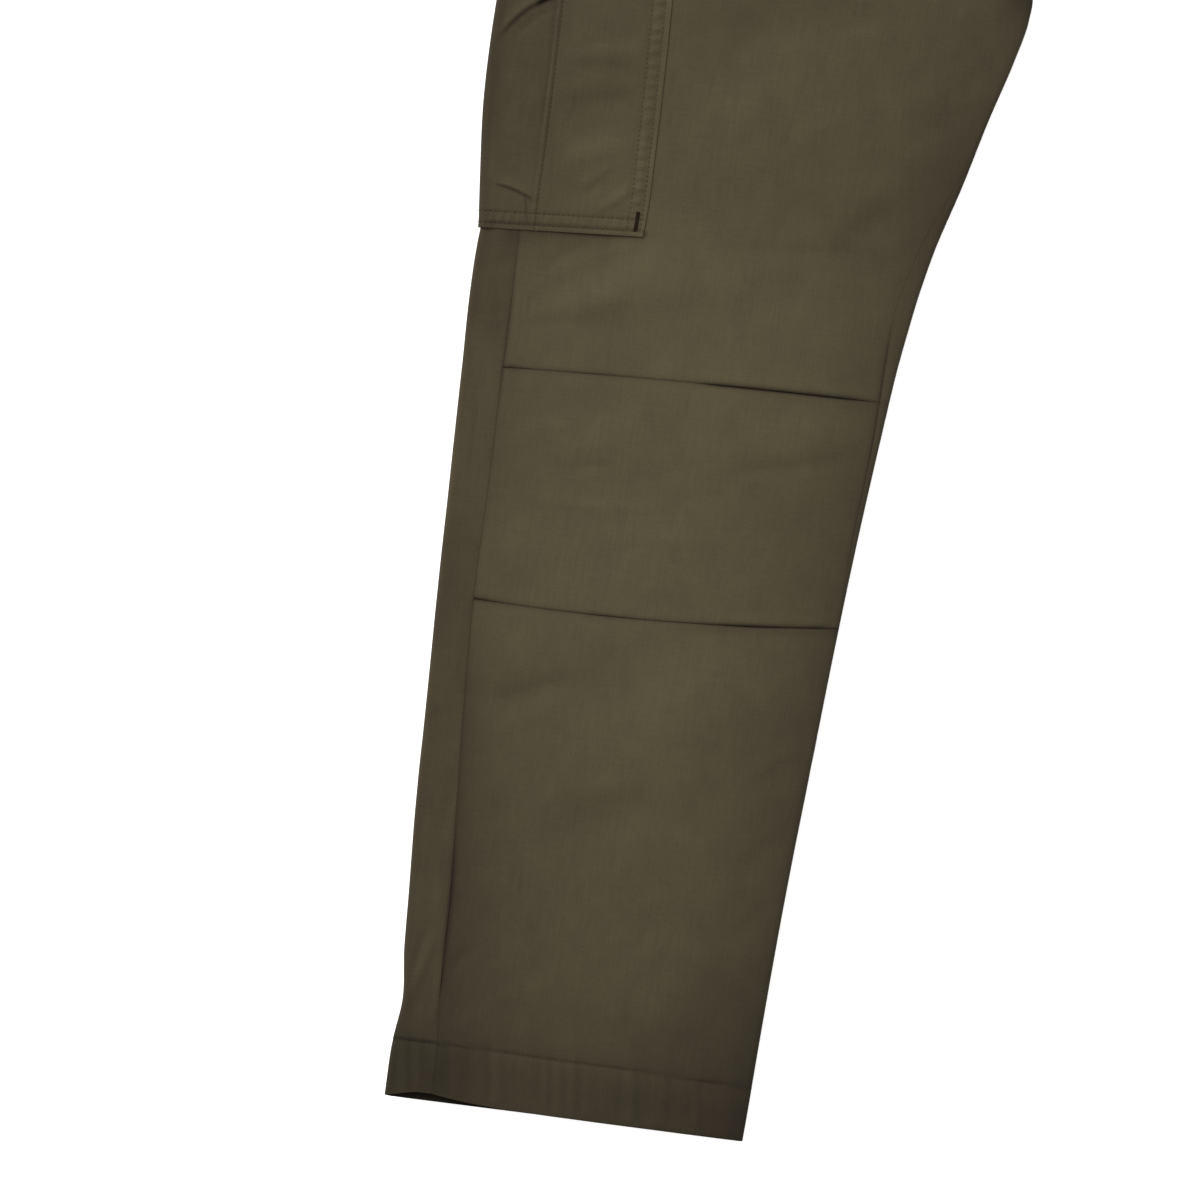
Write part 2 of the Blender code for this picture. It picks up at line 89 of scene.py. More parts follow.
# Outline of the folded pants: edges, outseam, and how far the inseam lies in from the inner fold
OUTLINE_COLUMNS = ("level", "outer", "outseam", "inner", "tuck")
OUTLINE = (
    (-10, -114.0, -84.5, 111.6, -5.5),
    (30, -115.0, -87.0, 111.6, -5.5),
    (55, -113.4, -90.2, 111.4, -5.5),
    (86, -117.8, -92.5, 111.3, -5.5),
    (120, -121.0, -94.6, 111.3, -5.5),
    (180, -126.8, -100.9, 111.9, -5.5),
    (240, -131.0, -107.0, 113.3, -5.0),
    (310, -136.3, -112.9, 114.8, 0.5),
    (370, -140.2, -115.5, 116.7, 4.0),
    (455, -145.8, -120.0, 120.8, 6.0),
    (500, -148.8, -122.0, 123.6, 9.6),
    (528, -149.5, -123.7, 126.5, 12.6),
    (541, -149.3, -124.4, 128.0, 12.7),
    (552, -150.8, -125.0, 129.6, 12.2),
    (570, -153.4, -126.0, 132.6, 11.0),
    (618, -159.6, -129.0, 143.8, 5.5),
    (660, -162.0, -131.0, 152.5, 2.0),
    (700, -162.6, -132.5, 162.0, -1.0),
    (725, -162.8, -133.5, 166.4, -3.0),
    (742, -163.0, -134.0, 166.0, -4.2),
    (756, -163.0, -134.5, 159.5, -5.0),
    (772, -163.0, -135.0, 147.5, -6.0),
    (800, -162.6, -135.0, 129.5, -6.0),
    (845, -160.0, -133.0, 113.0, -6.0),
    (900, -154.0, -127.5, 104.0, -6.0),
    (960, -143.5, -117.5, 96.5, -6.0),
    (1030, -128.0, -102.5, 88.5, -6.0),
)

# Seams and edges that cross the leg: level at the middle, slope, and how far the ends bow up, at 100 mm
CROSS = {
    "hem": (-0.7, 0.048, 0.0),
    "front hem": (-0.3, 0.048, 0.0),
    "hem stitch": (35.7, 0.034, -1.0),
    "lower knee": (315.8, 0.092, 3.5),
    "upper knee": (466.5, 0.080, -1.0),
    "pocket bottom": (555.9, 0.112, 0.0),
    "flap edge": (716.0, 0.127, 0.0),
    "pocket mouth": (768.0, 0.110, 0.0),
    "flap top": (790.0, 0.110, 0.0),
    "fly end": (818.0, 0.0, 0.0),
    "front waist seam": (966.0, -0.020, 0.0),
    "back waist seam": (978.0, 0.050, 0.0),
    "front waist": (1004.0, -0.020, 0.0),
    "back waist": (1016.0, 0.050, 0.0),
}

# Cargo pocket
POCKET_UNDER = 88.0  # how far it reaches under the leg
POCKET_ON_TOP = 105.0  # about how far it reaches on top
POCKET_MIDDLE = -105.0  # place across where its levels are first read
# Level, and the front edge's place across
POCKET_FRONT = ((540, -47.0), (570, -47.2), (600, -48.9), (640, -51.5), (700, -56.0), (790, -63.0))
# Level, and the pleat's place across
PLEAT = ((540, -118.5), (560, -119.5), (600, -121.0), (644, -123.2), (688, -125.8), (790, -130.0))
POCKET_PUFF = 1.1  # how much the bag swells
PLEAT_STEP = 0.9  # how far its front stands above the gusset
PLEAT_SECOND = 3.0  # from the pleat's line to the row of stitches on it
FLAP_SIDE = 3.0  # how far the flap stands out past the bag
EDGE_ROW = 2.2  # first row of stitches from an edge
SECOND_ROW = 8.0  # second row round the flap
FRONT_ROWS = (3.8, 11.7)  # rows of stitches in from the bag's front edge
BOTTOM_ROWS = (3.5, 10.6)  # rows of stitches up from the bag's bottom
BARTACK = (6.5, 3.2, 15.4)  # in from the front edge, and from where to where above the bottom
EDGE_PRESS = 1.05  # how far the pocket's front and lower edges are pressed down
EDGE_THIN = 0.65  # share of the wall that is pressed away there
PUCKER_PITCH = 7.3  # from one pucker beside the front edge to the next
BARTACK_PITCH = 0.52  # from one thread of the bartack to the next
BARTACK_HALF = 1.4  # half its width

# Closing at the waist: how far each lap comes round the inner fold on top, and how far it starts underneath
FLY_ON_TOP = 15.0
BAND_END_ON_TOP = 26.0
LAP_UNDER = 5.0
LAP_LIFT = BAND_RAISE + LAY_GAP + BAND_WALL  # how far the buttoned end lies off the leg
BUTTON_RADIUS = 8.5
BUTTON_HEIGHT = 3.0

UNEVEN_WAVES = (22.0, 80.0)  # the shortest and the longest wave in the cloth's unevenness

# Soft folds of the top cloth: place, direction from the X axis in degrees, half length, half width, height
FOLDS = (
    (-66, 510, 37, 52, 13, 1.4),
    (-62, 494, 14, 66, 11, -0.7),
    (90, 604, 45, 42, 14, 0.6),
    (128, 656, 30, 26, 12, -0.8),
    (93, 586, 45, 38, 11, -0.9),
    (30, 566, 40, 30, 12, -0.5),
    (68, 441, 14, 46, 13, 0.7),
    (-52, 422, 12, 36, 16, 1.0),
    (-86, 344, 10, 26, 14, 0.7),
    (20, 345, 8, 70, 13, 0.3),
    (-18, 356, 80, 44, 24, 1.2),
    (56, 284, 0, 36, 14, 0.8),
    (78, 248, 50, 34, 12, -0.6),
    (-66, 262, 20, 40, 9, -0.9),
    (10, 258, 35, 60, 22, 0.9),
    (-10, 190, 24, 44, 16, -1.0),
    (50, 90, 60, 32, 18, 1.4),
    (-40, 130, -62, 60, 18, -0.4),
    (-78, 62, 80, 24, 8, -0.4),
    (92, 200, 80, 80, 12, -0.8),
    (60, 690, 32, 70, 18, 1.0),
    (-4, 632, 60, 52, 24, 1.1),
    (-24, 520, 80, 18, 12, 0.4),
    (20, 700, 20, 60, 14, -0.7),
    (80, 770, 40, 50, 14, 1.2),
    (20, 840, 62, 80, 16, -1.2),
    (-20, 900, 75, 60, 14, 1.0),
    (-76, 880, 78, 70, 16, 1.0),
    (56, 900, 70, 46, 12, 0.9),
)

# Creases: from one point to another, how far the middle bows to the left of that way, half widths on the
# left and on the right, height at the middle
LEG_CREASES = (
    (-118, 500, -46, 547, 4, 7, 4, 0.42),
    (-112, 486, -30, 507, 3, 4, 8, -0.36),
    (-117, 484, -58, 495, 1, 3, 5, -0.45),
    (-112, 512, -76, 545, 2, 4, 3, -0.40),
    (-12, 549, 122, 565, 3, 4, 5, -0.40),
    (64, 572, 116, 626, 2, 7, 9, 0.15),
    (70, 560, 118, 606, 3, 8, 9, -0.25),
    (20, 600, 70, 655, 3, 7, 7, 0.40),
    (22, 414, 112, 443, -4, 6, 4, -0.60),
    (-78, 398, -36, 408, 1, 4, 4, -0.50),
    (30, 446, 112, 462, -3, 6, 6, 0.40),
    (-108, 378, 2, 385, -2, 4, 3, 0.45),
    (-106, 418, -60, 436, -3, 5, 5, 0.35),
    (-60, 352, 60, 372, 6, 8, 5, 0.40),
    (-102, 247, -34, 277, -2, 3, 6, -0.40),
    (-100, 230, -44, 254, -3, 8, 6, 0.28),
    (-70, 180, 30, 215, 8, 8, 5, 0.45),
    (-46, 178, 30, 208, 3, 9, 11, -0.40),
    (-20, 150, 90, 260, -10, 9, 7, -0.20),
    (70, 262, 108, 300, 3, 5, 6, -0.30),
    (66, 240, 108, 272, 3, 5, 5, 0.10),
    (72, 214, 109, 250, 3, 4, 6, -0.45),
    (80, 186, 109, 214, 2, 5, 5, 0.20),
    (78, 166, 109, 200, 3, 5, 5, -0.25),
    (80, 120, 108, 160, 3, 4, 6, -0.40),
    (-90, 58, -70, 98, 6, 5, 4, -0.80),
    (-92, 39, -92, 80, 0, 2.5, 2.5, 0.50),
    (-84, 44, -40, 86, -6, 5, 6, 0.35),
    (-64, 90, -41, 42, 3, 5, 6, -0.45),
    (10, 60, 50, 130, 6, 9, 9, 0.40),
    (60, 48, 96, 110, -4, 8, 6, -0.40),
    (126, 690, 158, 744, -4, 6, 8, -0.45),
    (118, 700, 150, 760, 3, 6, 6, 0.40),
    (112, 640, 146, 668, 2, 5, 7, -0.35),
    (128, 668, 158, 706, 2, 6, 6, -0.40),
    (30, 690, 120, 720, 4, 8, 6, -0.50),
    (-20, 640, 40, 760, 8, 9, 8, -0.45),
    (60, 760, 112, 850, -6, 6, 8, 0.70),
    (40, 770, 96, 880, -5, 7, 7, -0.70),
    (-30, 800, 30, 940, 10, 10, 7, 0.60),
    (-96, 820, -60, 950, -8, 8, 8, 0.60),
    (-40, 820, -14, 950, 6, 7, 9, -0.60),
)
STRIP_CREASES = (
    (-92, 39, -92, 80, 0, 2.5, 2.5, 0.50),
    (-99, 106, -111, 54, 1, 3.5, 2.5, 0.80),
    (-106, 106, -113, 66, 1, 2.5, 2.5, -0.70),
    (-108, 158, -100, 104, 1, 3.5, 2.5, 0.45),
    (-103, 214, -109, 150, 1, 2.5, 4, -0.35),
    (-113, 62, -102, 48, 1, 3, 2, -0.50),
    (-120, 300, -117, 244, 1, 3, 3, 0.35),
    (-134, 452, -128, 380, 1, 3, 3, -0.35),
    (-142, 520, -132, 470, 1, 4, 3, 0.40),
    (-147, 514, -125, 522, 0, 4, 4, -0.55),
    (-144, 484, -121, 490, 0, 3, 3, -0.45),
    (-136, 351, -116, 357, 0, 3, 4, -0.40),
    (-128, 232, -108, 240, 0, 3, 4, -0.40),
)
POCKET_CREASES = (
    (-146, 568, -118, 561, 1.8, 3.5, 0.9, 1.00),
    (-160, 655, -120, 694, 6.0, 4.0, 1.4, 1.20),
    (-150, 656, -122, 684, 3, 4.0, 2.0, -0.60),
    (-125, 564, -121, 546, 0.3, 1.2, 1.2, -0.35),
    (-114, 654, -60, 664, 2, 5, 7, 0.90),
    (-114, 646, -60, 650, 3, 4, 5, -0.50),
    (-120, 624, -58, 638, -2, 6, 7, -1.00),
    (-108, 586, -62, 606, 2, 8, 7, 1.35),
    (-100, 570, -60, 586, -2, 5, 5, -0.70),
    (-82, 560, -58, 582, -2, 4, 3, 0.80),
    (-90, 566, -66, 592, 2, 2.5, 3.5, -0.55),
    (-150, 600, -138, 636, 1, 5, 6, -0.40),
    (-152, 640, -136, 626, 2, 6, 5, 0.40),
    (-154, 590, -146, 566, 1, 4, 4, 0.40),
)


def column(table, at, number=1):
    """Value of a table's column at any place in its first column, on a smooth curve through its rows.

    Between two rows it is the cubic that has their values, and slopes read from the rows on both sides.
    """
    rows = np.array(table, float)
    level, value = rows[:, 0], rows[:, number]
    slope = np.gradient(value, level)
    at = np.clip(at, level[0], level[-1])
    row = np.clip(np.searchsorted(level, at) - 1, 0, len(level) - 2)
    step = level[row + 1] - level[row]
    t = (at - level[row]) / step
    return (
        (1 + 2 * t) * (1 - t) ** 2 * value[row]
        + t * (1 - t) ** 2 * step * slope[row]
        + t**2 * (3 - 2 * t) * value[row + 1]
        + t**2 * (t - 1) * step * slope[row + 1]
    )


def outline(wanted, level):
    """One of the outline's columns at a level."""
    return column(OUTLINE, level, OUTLINE_COLUMNS.index(wanted))


def cross(name, x):
    """Level of a cross seam at a place across the leg."""
    level, slope, bow = CROSS[name]
    return level + slope * x + bow * (x / 100) ** 2


def entry(table, number, before=0):
    """The table's entry for each number, past those before it, and its first or last entry outside it."""
    return table[np.clip(number - before, 0, len(table) - 1)]


def ease(low, high, value):
    """0 below low, 1 above high, and a smooth step between."""
    t = np.clip((value - low) / (high - low), 0, 1)
    return t * t * (3 - 2 * t)


def between(low, high, value, soft):
    """1 between low and high, falling to 0 over the soft width outside them."""
    return ease(low - soft, low, value) * (1 - ease(high, high + soft, value))


def hump(value, width):
    """A bell of height 1 over value 0."""
    return np.exp(-((value / width) ** 2))


def notch(value, width):
    """A sharp peak of height 1 over value 0, dying away on both sides."""
    return np.exp(-np.abs(value) / width)


def fading(value, reach):
    """1 up to value 0, and past it dying away, to a third at the reach."""
    return np.exp(-np.clip(value, 0, None) / reach)


def pocket_front(level):
    """Place across the leg of the cargo pocket's front edge."""
    return column(POCKET_FRONT, level)


def past_pleat(x, level):
    """How far a place lies in front of the pleat's line."""
    return x - column(PLEAT, level)


def under_pocket(x, level, margin):
    """1 where the cargo pocket lies on the leg, falling to 0 outside it."""
    height = between(cross("pocket bottom", x), cross("flap top", x), level, margin)
    return height * (1 - ease(pocket_front(level), pocket_front(level) + margin, x))


def folds(x, level):
    """Height of the soft folds: each is a long low mound or trough, round in section."""
    height = np.zeros(np.broadcast(x, level).shape)
    for fold_x, fold_level, turn, long, wide, high in FOLDS:
        angle = np.radians(turn)
        from_x, from_y = x - fold_x, level - fold_level
        along = (from_x * np.cos(angle) + from_y * np.sin(angle)) / long
        aside = (from_y * np.cos(angle) - from_x * np.sin(angle)) / wide
        height = height + high * np.exp(-(along**2) - aside**2)
    return height


def beside_line(line, x, level):
    """Where a place lies by a bowed line: its share of the way along, and how far to the left it is."""
    line_x, line_level, to_x, to_level, bow = line
    run_x, run_y = to_x - line_x, to_level - line_level
    length = math.hypot(run_x, run_y)
    from_x, from_y = x - line_x, level - line_level
    along = (from_x * run_x + from_y * run_y) / length**2
    aside = (from_y * run_x - from_x * run_y) / length - bow * 4 * along * (1 - along)
    return along, aside


def line_ends(along, fade):
    """1 along a line's middle, fading to 0 over a share of its length at each end."""
    return ease(-0.05, fade, along) * (1 - ease(1 - fade, 1.05, along))


def creases(table, x, level):
    """Height of the creases: a bell across each bowed line, of unlike width on its two sides."""
    height = np.zeros(np.broadcast(x, level).shape)
    for *line, left, right, high in table:
        along, aside = beside_line(line, x, level)
        height = height + high * line_ends(along, 0.35) * hump(aside, np.where(aside > 0, left, right))
    return height


def unevenness(x, level, seed, high):
    """Low undulation: the sum of a dozen waves in seeded directions and lengths, the long ones highest."""
    shortest, longest = UNEVEN_WAVES
    dice = np.random.default_rng(seed)
    height = 0.0
    for _ in range(12):
        turn, start = dice.uniform(0, np.pi), dice.uniform(0, 2 * np.pi)
        wave = dice.uniform(shortest, longest)
        phase = 2 * np.pi * (x * np.cos(turn) + level * np.sin(turn)) / wave + start
        height = height + wave / longest * np.sin(phase)
    return high * height


def wander(at, seed, wave, high):
    """A slow uneven wave along one direction: three sines, each shorter and lower than the one before."""
    dice = np.random.default_rng(seed)
    total = 0.0
    for share in (1.0, 0.61, 0.37):
        total = total + share * np.sin(2 * np.pi * at / (wave * share) + dice.uniform(0, 2 * np.pi))
    return high * total / 2


# Seams

SEAM_NOTCH = 0.6  # how far the notch that a seam's stitches pull reaches on each side
# Level, and how strongly the outseam's line shows there, from 0 to 1
OUTSEAM_LINE = ((-10, 0.02), (40, 0.02), (58, 0.02), (70, 0.30), (84, 0.85), (110, 1.00), (148, 0.85),
                (165, 0.50), (240, 0.36), (290, 0.24), (420, 0.28), (475, 0.64), (520, 0.28), (1030, 0.28))


def knee_strength(name, x):
    """How deep a knee seam's fold is across the leg, from 0 to 1."""
    if name == "upper knee":
        strength = 0.38 + 0.34 * hump(x + 116, 12) + 0.16 * hump(x + 62, 18)
        return strength + 0.78 * ease(-5, 18, x) * (1 - 0.85 * ease(90, 112, x))
    strength = 0.46 + 0.50 * hump(x + 112, 13) + 0.28 * hump(x + 28, 16)
    return strength + 0.72 * hump(x - 62, 27) + 0.35 * ease(78, 104, x)


def outseam_strength(level):
    """How strongly the outseam's line shows at a level."""
    return column(OUTSEAM_LINE, level)


def inseam_strength(level):
    """How strongly the inseam's line shows where it lies on top of the leg."""
    return ease(3.0, 6.0, outline("tuck", level)) * (1 - ease(500, 532, level))


def past_inseam(x, level):
    """How far a place lies outside the inseam's line, where that line lies on top."""
    return x - (outline("inner", level) - ROUND + QUARTER - outline("tuck", level))


def seam_relief(x, level):
    """The cloth rolls down at the seams: softly on the lower side and sharply on the upper, lapping side."""
    past = x - outline("outseam", level)
    strength = outseam_strength(level)
    side = np.where(past > 0, hump(past, 3.0), 0.55 * hump(past, 1.8))
    down = (0.03 + 0.52 * strength) * side * (1 - ease(940, 965, level))
    down = down + (0.04 + 0.41 * strength) * notch(past, SEAM_NOTCH)
    on_front = ease(-2, 2, past) * ease(ROUND, 12, outline("inner", level) - x)
    for name in ("lower knee", "upper knee"):
        above = level - cross(name, x)
        roll = np.where(above > 0, 0.6 * hump(above, 1.4), 0.8 * hump(above, 5.0))
        lap = 0.35 * hump(above - 4.0, 3.0) * (above > 0)
        down = down + on_front * knee_strength(name, x) * (roll + 0.8 * notch(above, SEAM_NOTCH) - lap)
    inseam = past_inseam(x, level)
    pulled = 0.4 * hump(inseam, 2.0) + 0.3 * notch(inseam, SEAM_NOTCH)
    return down + inseam_strength(level) * pulled


def seam_shade(x, level):
    """Painted shade at the bottom of a seam's groove, and softer below the knee seams, from 0 to 1."""
    past = x - outline("outseam", level)
    strength = outseam_strength(level)
    shade = 0.50 * strength * hump(past - 0.6, 1.3 + 0.5 * ease(0.6, 1.0, strength))
    for name, below_it in (("lower knee", 0.22), ("upper knee", 0.14)):
        above = level - cross(name, x)
        near = notch(above, np.where(above > 0, 0.5, 1.1))
        groove = 0.95 * ease(-2, 2, past) * knee_strength(name, x) * near
        soft = np.where(above > 0, 0.0, hump(above + 2.0, 4.5)) * ease(0, 40, x)
        shade = np.maximum(shade, np.maximum(groove, below_it * soft))
    return np.maximum(shade, 0.30 * inseam_strength(level) * hump(past_inseam(x, level), 1.0))


def hem_relief(x, level):
    """The hem: a line pressed in by its stitches, and soft uneven ripples from it down to the edge."""
    below = cross("hem stitch", x) - level
    band = between(1.0, 30, below, 3)
    across = x - 0.18 * below
    rope = np.sin(2 * np.pi * across / 15.0 + wander(across, 3, 75, 5.5))
    fine = np.sin(2 * np.pi * across / 5.9 + wander(across, 5, 50, 3.0))
    swell = np.clip(0.55 + wander(across, 8, 52, 0.75), 0.05, 1.3)
    line = -0.60 * hump(below, 1.2)
    broad = np.sin(2 * np.pi * across / 29.0 + wander(across, 6, 90, 4.0))
    ripple = 0.40 * rope * swell + 0.22 * broad + 0.08 * fine * ease(-60, -10, x)
    return line + band * ripple + 0.14 * rope * swell * hump(below + 3, 5)


# The right leg's surface


def tube_top(x, level):
    """Height of the right leg's upper surface, away from its rounded edges.

    It is a crown from edge to edge with the folds, the creases, the seams and the hem's ripples on it. The
    folds and creases die away at both edges, under the pocket and under what is sewn on at the waist.
    """
    outer, inner = outline("outer", level), outline("inner", level)
    across = np.clip((x - outer) / (inner - outer), 0, 1)
    beside_fold = 4 + (FLY_ON_TOP + 6) * ease(740, 780, level)
    clear = ease(4, 30, x - outer) * ease(beside_fold, beside_fold + 26, inner - x)
    clear = clear * (1 - under_pocket(x, level, 14))
    clear = clear * (1 - ease(930, 960, level))
    detail = ease(2, 9, x - outer) * ease(0, 7, inner - x) * (1 - under_pocket(x, level, 6))
    detail = detail * (1 - ease(938, 962, level))
    detail = detail * (1 - ease(744, 770, level) * (1 - ease(FLY_ON_TOP, FLY_ON_TOP + 14, inner - x)))
    crown = CROWN * np.sin(np.pi * across) ** 0.7
    hem = HEM_RAISE * (1 - ease(-1, 1, level - cross("hem stitch", x)))
    small = creases(LEG_CREASES, x, level) * (x > outline("outseam", level))
    small = small + creases(STRIP_CREASES, x, level) * (x <= outline("outseam", level))
    small = small + unevenness(x, level, 7, 0.09)
    height = TUBE_BOTTOM + TUBE + crown + hem + folds(x, level) * clear + small * detail
    return height - seam_relief(x, level) + hem_relief(x, level) * ease(-1.0, 3.0, inner - x)


def half_girth(level):
    """Girth from the outer fold over the top to the inner fold, which is half of the way round."""
    return outline("inner", level) - outline("outer", level) - 2 * ROUND + 2 * QUARTER


def around(level, girth, out):
    """Point on the right leg's surface: girth runs from the outer fold over the top; out is how far off it.

    The section is two flats joined by half rounds. Across a flat the height is the tube's top or bottom, and
    on a round it is the sine of the angle between them.
    """
    half = half_girth(level)
    low_x = outline("outer", level) + ROUND
    high_x = outline("inner", level) - ROUND
    g = np.mod(girth + QUARTER, 2 * half)
    on_outer = g < 2 * QUARTER
    on_top = (g >= 2 * QUARTER) & (g < half)
    on_inner = (g >= half) & (g < half + 2 * QUARTER)
    angle = np.where(on_outer, g / (2 * QUARTER), 1 - (g - half) / (2 * QUARTER)) * np.pi - np.pi / 2
    flat_x = np.where(on_top, low_x + g - 2 * QUARTER, high_x - (g - half - 2 * QUARTER))
    rise = np.where(on_outer | on_inner, np.sin(angle), np.where(on_top, 1.0, -1.0))
    bulge = np.where(on_outer | on_inner, np.cos(angle), 0.0) * (ROUND + out)
    x = np.where(on_outer, low_x - bulge, np.where(on_inner, high_x + bulge, flat_x))
    in_hem = 1 - ease(-1, 1, level - cross("hem stitch", x))
    out = np.where(out < 0, out * (1 + (HEM_SHELL / SHELL - 1) * in_hem), out)
    top = tube_top(np.clip(x, low_x, high_x), level)
    middle, rise_by = (top + TUBE_BOTTOM) / 2, (top - TUBE_BOTTOM) / 2
    return x, level, middle + rise * (rise_by + out)


def girth_of(x, level):
    """Girth at a place on the flat top."""
    return x - outline("outer", level) - ROUND + QUARTER


def outseam_girth(level):
    """Girth at the outseam."""
    return girth_of(outline("outseam", level), level)


def inseam_girth(level):
    """Girth at the inseam: half of the way round, less the outline's tuck, which is above 0 on top."""
    return half_girth(level) - outline("tuck", level)


# Meshes

INSIDE_SHADE = 0.55  # painted shade on the wrong side of the cloth, inside the pants
EDGE_STEPS = (0.0, 0.3, 0.7, 1.2, 1.9, 2.8, 4.0, 5.5)


def spaced(length, step, *fine):
    """Shares of a length: close together near both ends, then a step apart, or less in fine stretches."""
    near = np.array(EDGE_STEPS)
    count = int(np.ceil((length - 2 * near[-1]) / step)) + 1
    middle = np.linspace(near[-1], length - near[-1], count)
    places = np.concatenate((near[:-1], middle, length - near[-2::-1]))
    for low, high, small in fine:
        places = np.concatenate((places[(places < low) | (places > high)], np.arange(low, high, small)))
    return np.sort(places) / length


def to_row(x, level, height):
    """Garment millimetres to metres in the model's frame."""
    return np.stack((x, level - ORIGIN_LEVEL, height), axis=-1) * MM


def new_piece(name, points, faces, material, shade=None):
    """A smooth mesh object at the origin, with its shade kept at its points."""
    mesh = bpy.data.meshes.new(name)
    mesh.from_pydata(points.reshape(-1, 3), [], faces)
    if shade is not None:
        kept = mesh.attributes.new("shade", "FLOAT", "POINT")
        kept.data.foreach_set("value", np.clip(shade, 0, 1).astype(np.float32).ravel())
    mesh.validate()
    mesh.shade_smooth()
    mesh.materials.append(material)
    piece = bpy.data.objects.new(name, mesh)
    bpy.context.scene.collection.objects.link(piece)
    return piece


def dress(piece, *nodes, slot="olive_cotton"):
    """The piece moves with the one body and stands for its nodes; slot is not used."""
    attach(piece, "root")
    if nodes:
        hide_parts(*nodes)


def grid_quads(index):
    """Four-cornered faces over a grid of point numbers."""
    return np.stack((index[:-1, :-1], index[:-1, 1:], index[1:, 1:], index[1:, :-1]), axis=-1).reshape(-1, 4)


def plain_shade(u, v, x, level, height):
    """The same lightness all over, where no seam crosses a piece."""
    return with_tone(0 * x, PLAIN_LIGHT)


def plain_inside(u, v, x, level, height):
    """The same shade all over the wrong side."""
    return INSIDE_SHADE


def cloth(name, node, u, v, place, wall, material, shade=plain_shade, inside=plain_inside, closed=False):
    """A two-sided wall of cloth over a grid, which replaces its node.

    place(u, v, out) gives its outer side at out = 0 and its inner side at out = -wall, and faces join them
    along the borders. shade and inside say how dark its two sides are, from u, v and the outer side's place.
    """
    across, along = np.meshgrid(u, v)
    spot = place(across, along, 0.0)
    outer = to_row(*spot)
    inner = to_row(*place(across, along, -wall))
    rows, columns = across.shape
    index = np.arange(rows * columns).reshape(rows, columns)
    if closed:
        index = np.concatenate((index, index[:, :1]), axis=1)
    quads = grid_quads(index)
    rims = []
    borders = [index[0], index[-1][::-1]]
    if not closed:
        borders += [index[:, -1], index[::-1, 0]]
    for border in borders:
        far = border + rows * columns
        rims.append(np.stack((border[1:], border[:-1], far[:-1], far[1:]), axis=-1))
    faces = np.concatenate([quads, quads[:, ::-1] + rows * columns, *rims])
    dark = shade(across, along, *spot)
    under = np.maximum(dark, inside(across, along, *spot))
    points = np.concatenate((outer.reshape(-1, 3), inner.reshape(-1, 3)))
    piece = new_piece(name, points, faces.tolist(), material, np.concatenate((dark.ravel(), under.ravel())))
    piece.data.set_sharp_from_angle(angle=math.radians(60))
    dress(piece, node)
    keep_cut(outer, closed)


def keep_cut(outer, closed):
    """Joins a closed sheet's first column on after its last; nothing is kept."""
    if closed:
        outer = np.concatenate((outer, outer[:, :1]), axis=1)


# Pieces of the right leg


def front_shade(u, v, x, level, height):
    """Painted light and shade of a front panel."""
    return leg_shade(x, level)


def front_panel(name, node, low, high, step, low_rise, material):
    """A piece of the right front, from the outseam to the inseam, between two cross seams.

    Its low edge is lifted by low_rise at the outseam, less and less across the leg.
    """
    first, last = cross(low, 0) + SEAM_SLIT, cross(high, 0) - SEAM_SLIT
    middle = (first + last) / 2
    width = float(inseam_girth(middle) - outseam_girth(middle))

    def edge(seam, at, u, rise):
        x = (1 - u) * outline("outseam", at) + u * (outline("inner", at) - 2)
        return cross(seam, x) - cross(seam, 0) + rise + at

    def place(u, v, off):
        rise = low_rise * np.exp(-u * width / FRONT_HEM_REACH)
        level = (1 - v) * edge(low, first, u, rise) + v * edge(high, last, u, 0.0)
        start, end = outseam_girth(level) + SEAM_SLIT, inseam_girth(level) - SEAM_SLIT
        return around(level, start + u * (end - start), off)

    cloth(name, node, spaced(width, step), spaced(last - first, step), place, SHELL, material, front_shade)


# Columns of the back: counted from the inseam, then shared out underneath, then counted to the outseam
BACK_NEAR = np.concatenate((EDGE_STEPS[:6], np.arange(3.8, 27.0, 1.0)))
BACK_UNDER = np.linspace(0, 1, 22)[1:-1]
BACK_FAR = np.concatenate((EDGE_STEPS, np.arange(7.0, 44.0, 1.2)))[::-1]
BACK_LENGTH = 978.0
BACK_ROWS = spaced(BACK_LENGTH, 3.0, (4.0, 30.0, 1.8), (30.0, 46.0, 0.8))  # finer across the hem's stitches


def back_girth(level, number):
    """Girth of each column of the back."""
    start = inseam_girth(level) + SEAM_SLIT
    end = 2 * half_girth(level) + outseam_girth(level) - SEAM_SLIT
    low, high = start + BACK_NEAR[-1], end - BACK_FAR[0]
    near, under = len(BACK_NEAR), len(BACK_UNDER)
    first = start + entry(BACK_NEAR, number)
    middle = low + entry(BACK_UNDER, number, near) * (high - low)
    last = end - entry(BACK_FAR, number, near + under)
    return np.where(number < near, first, np.where(number < near + under, middle, last))


def flush(x, level):
    """A panel of the leg is the leg's own surface."""
    return 0.0


def back_shade(u, v, x, level, height):
    """Painted light of the back, and its painted dark lines where it comes round on top."""
    on_top = height > TUBE_BOTTOM + TUBE / 2
    return np.where(on_top, leg_shade(x, level), with_tone(0.0, painted_light(x, level)))


def mouth_shade(u, v, x, level, height):
    """The wrong side of the back is in deep shade where it shows at the open hem."""
    return 0.45 + 0.53 * (1 - ease(8, 16, level - cross("hem", x)))


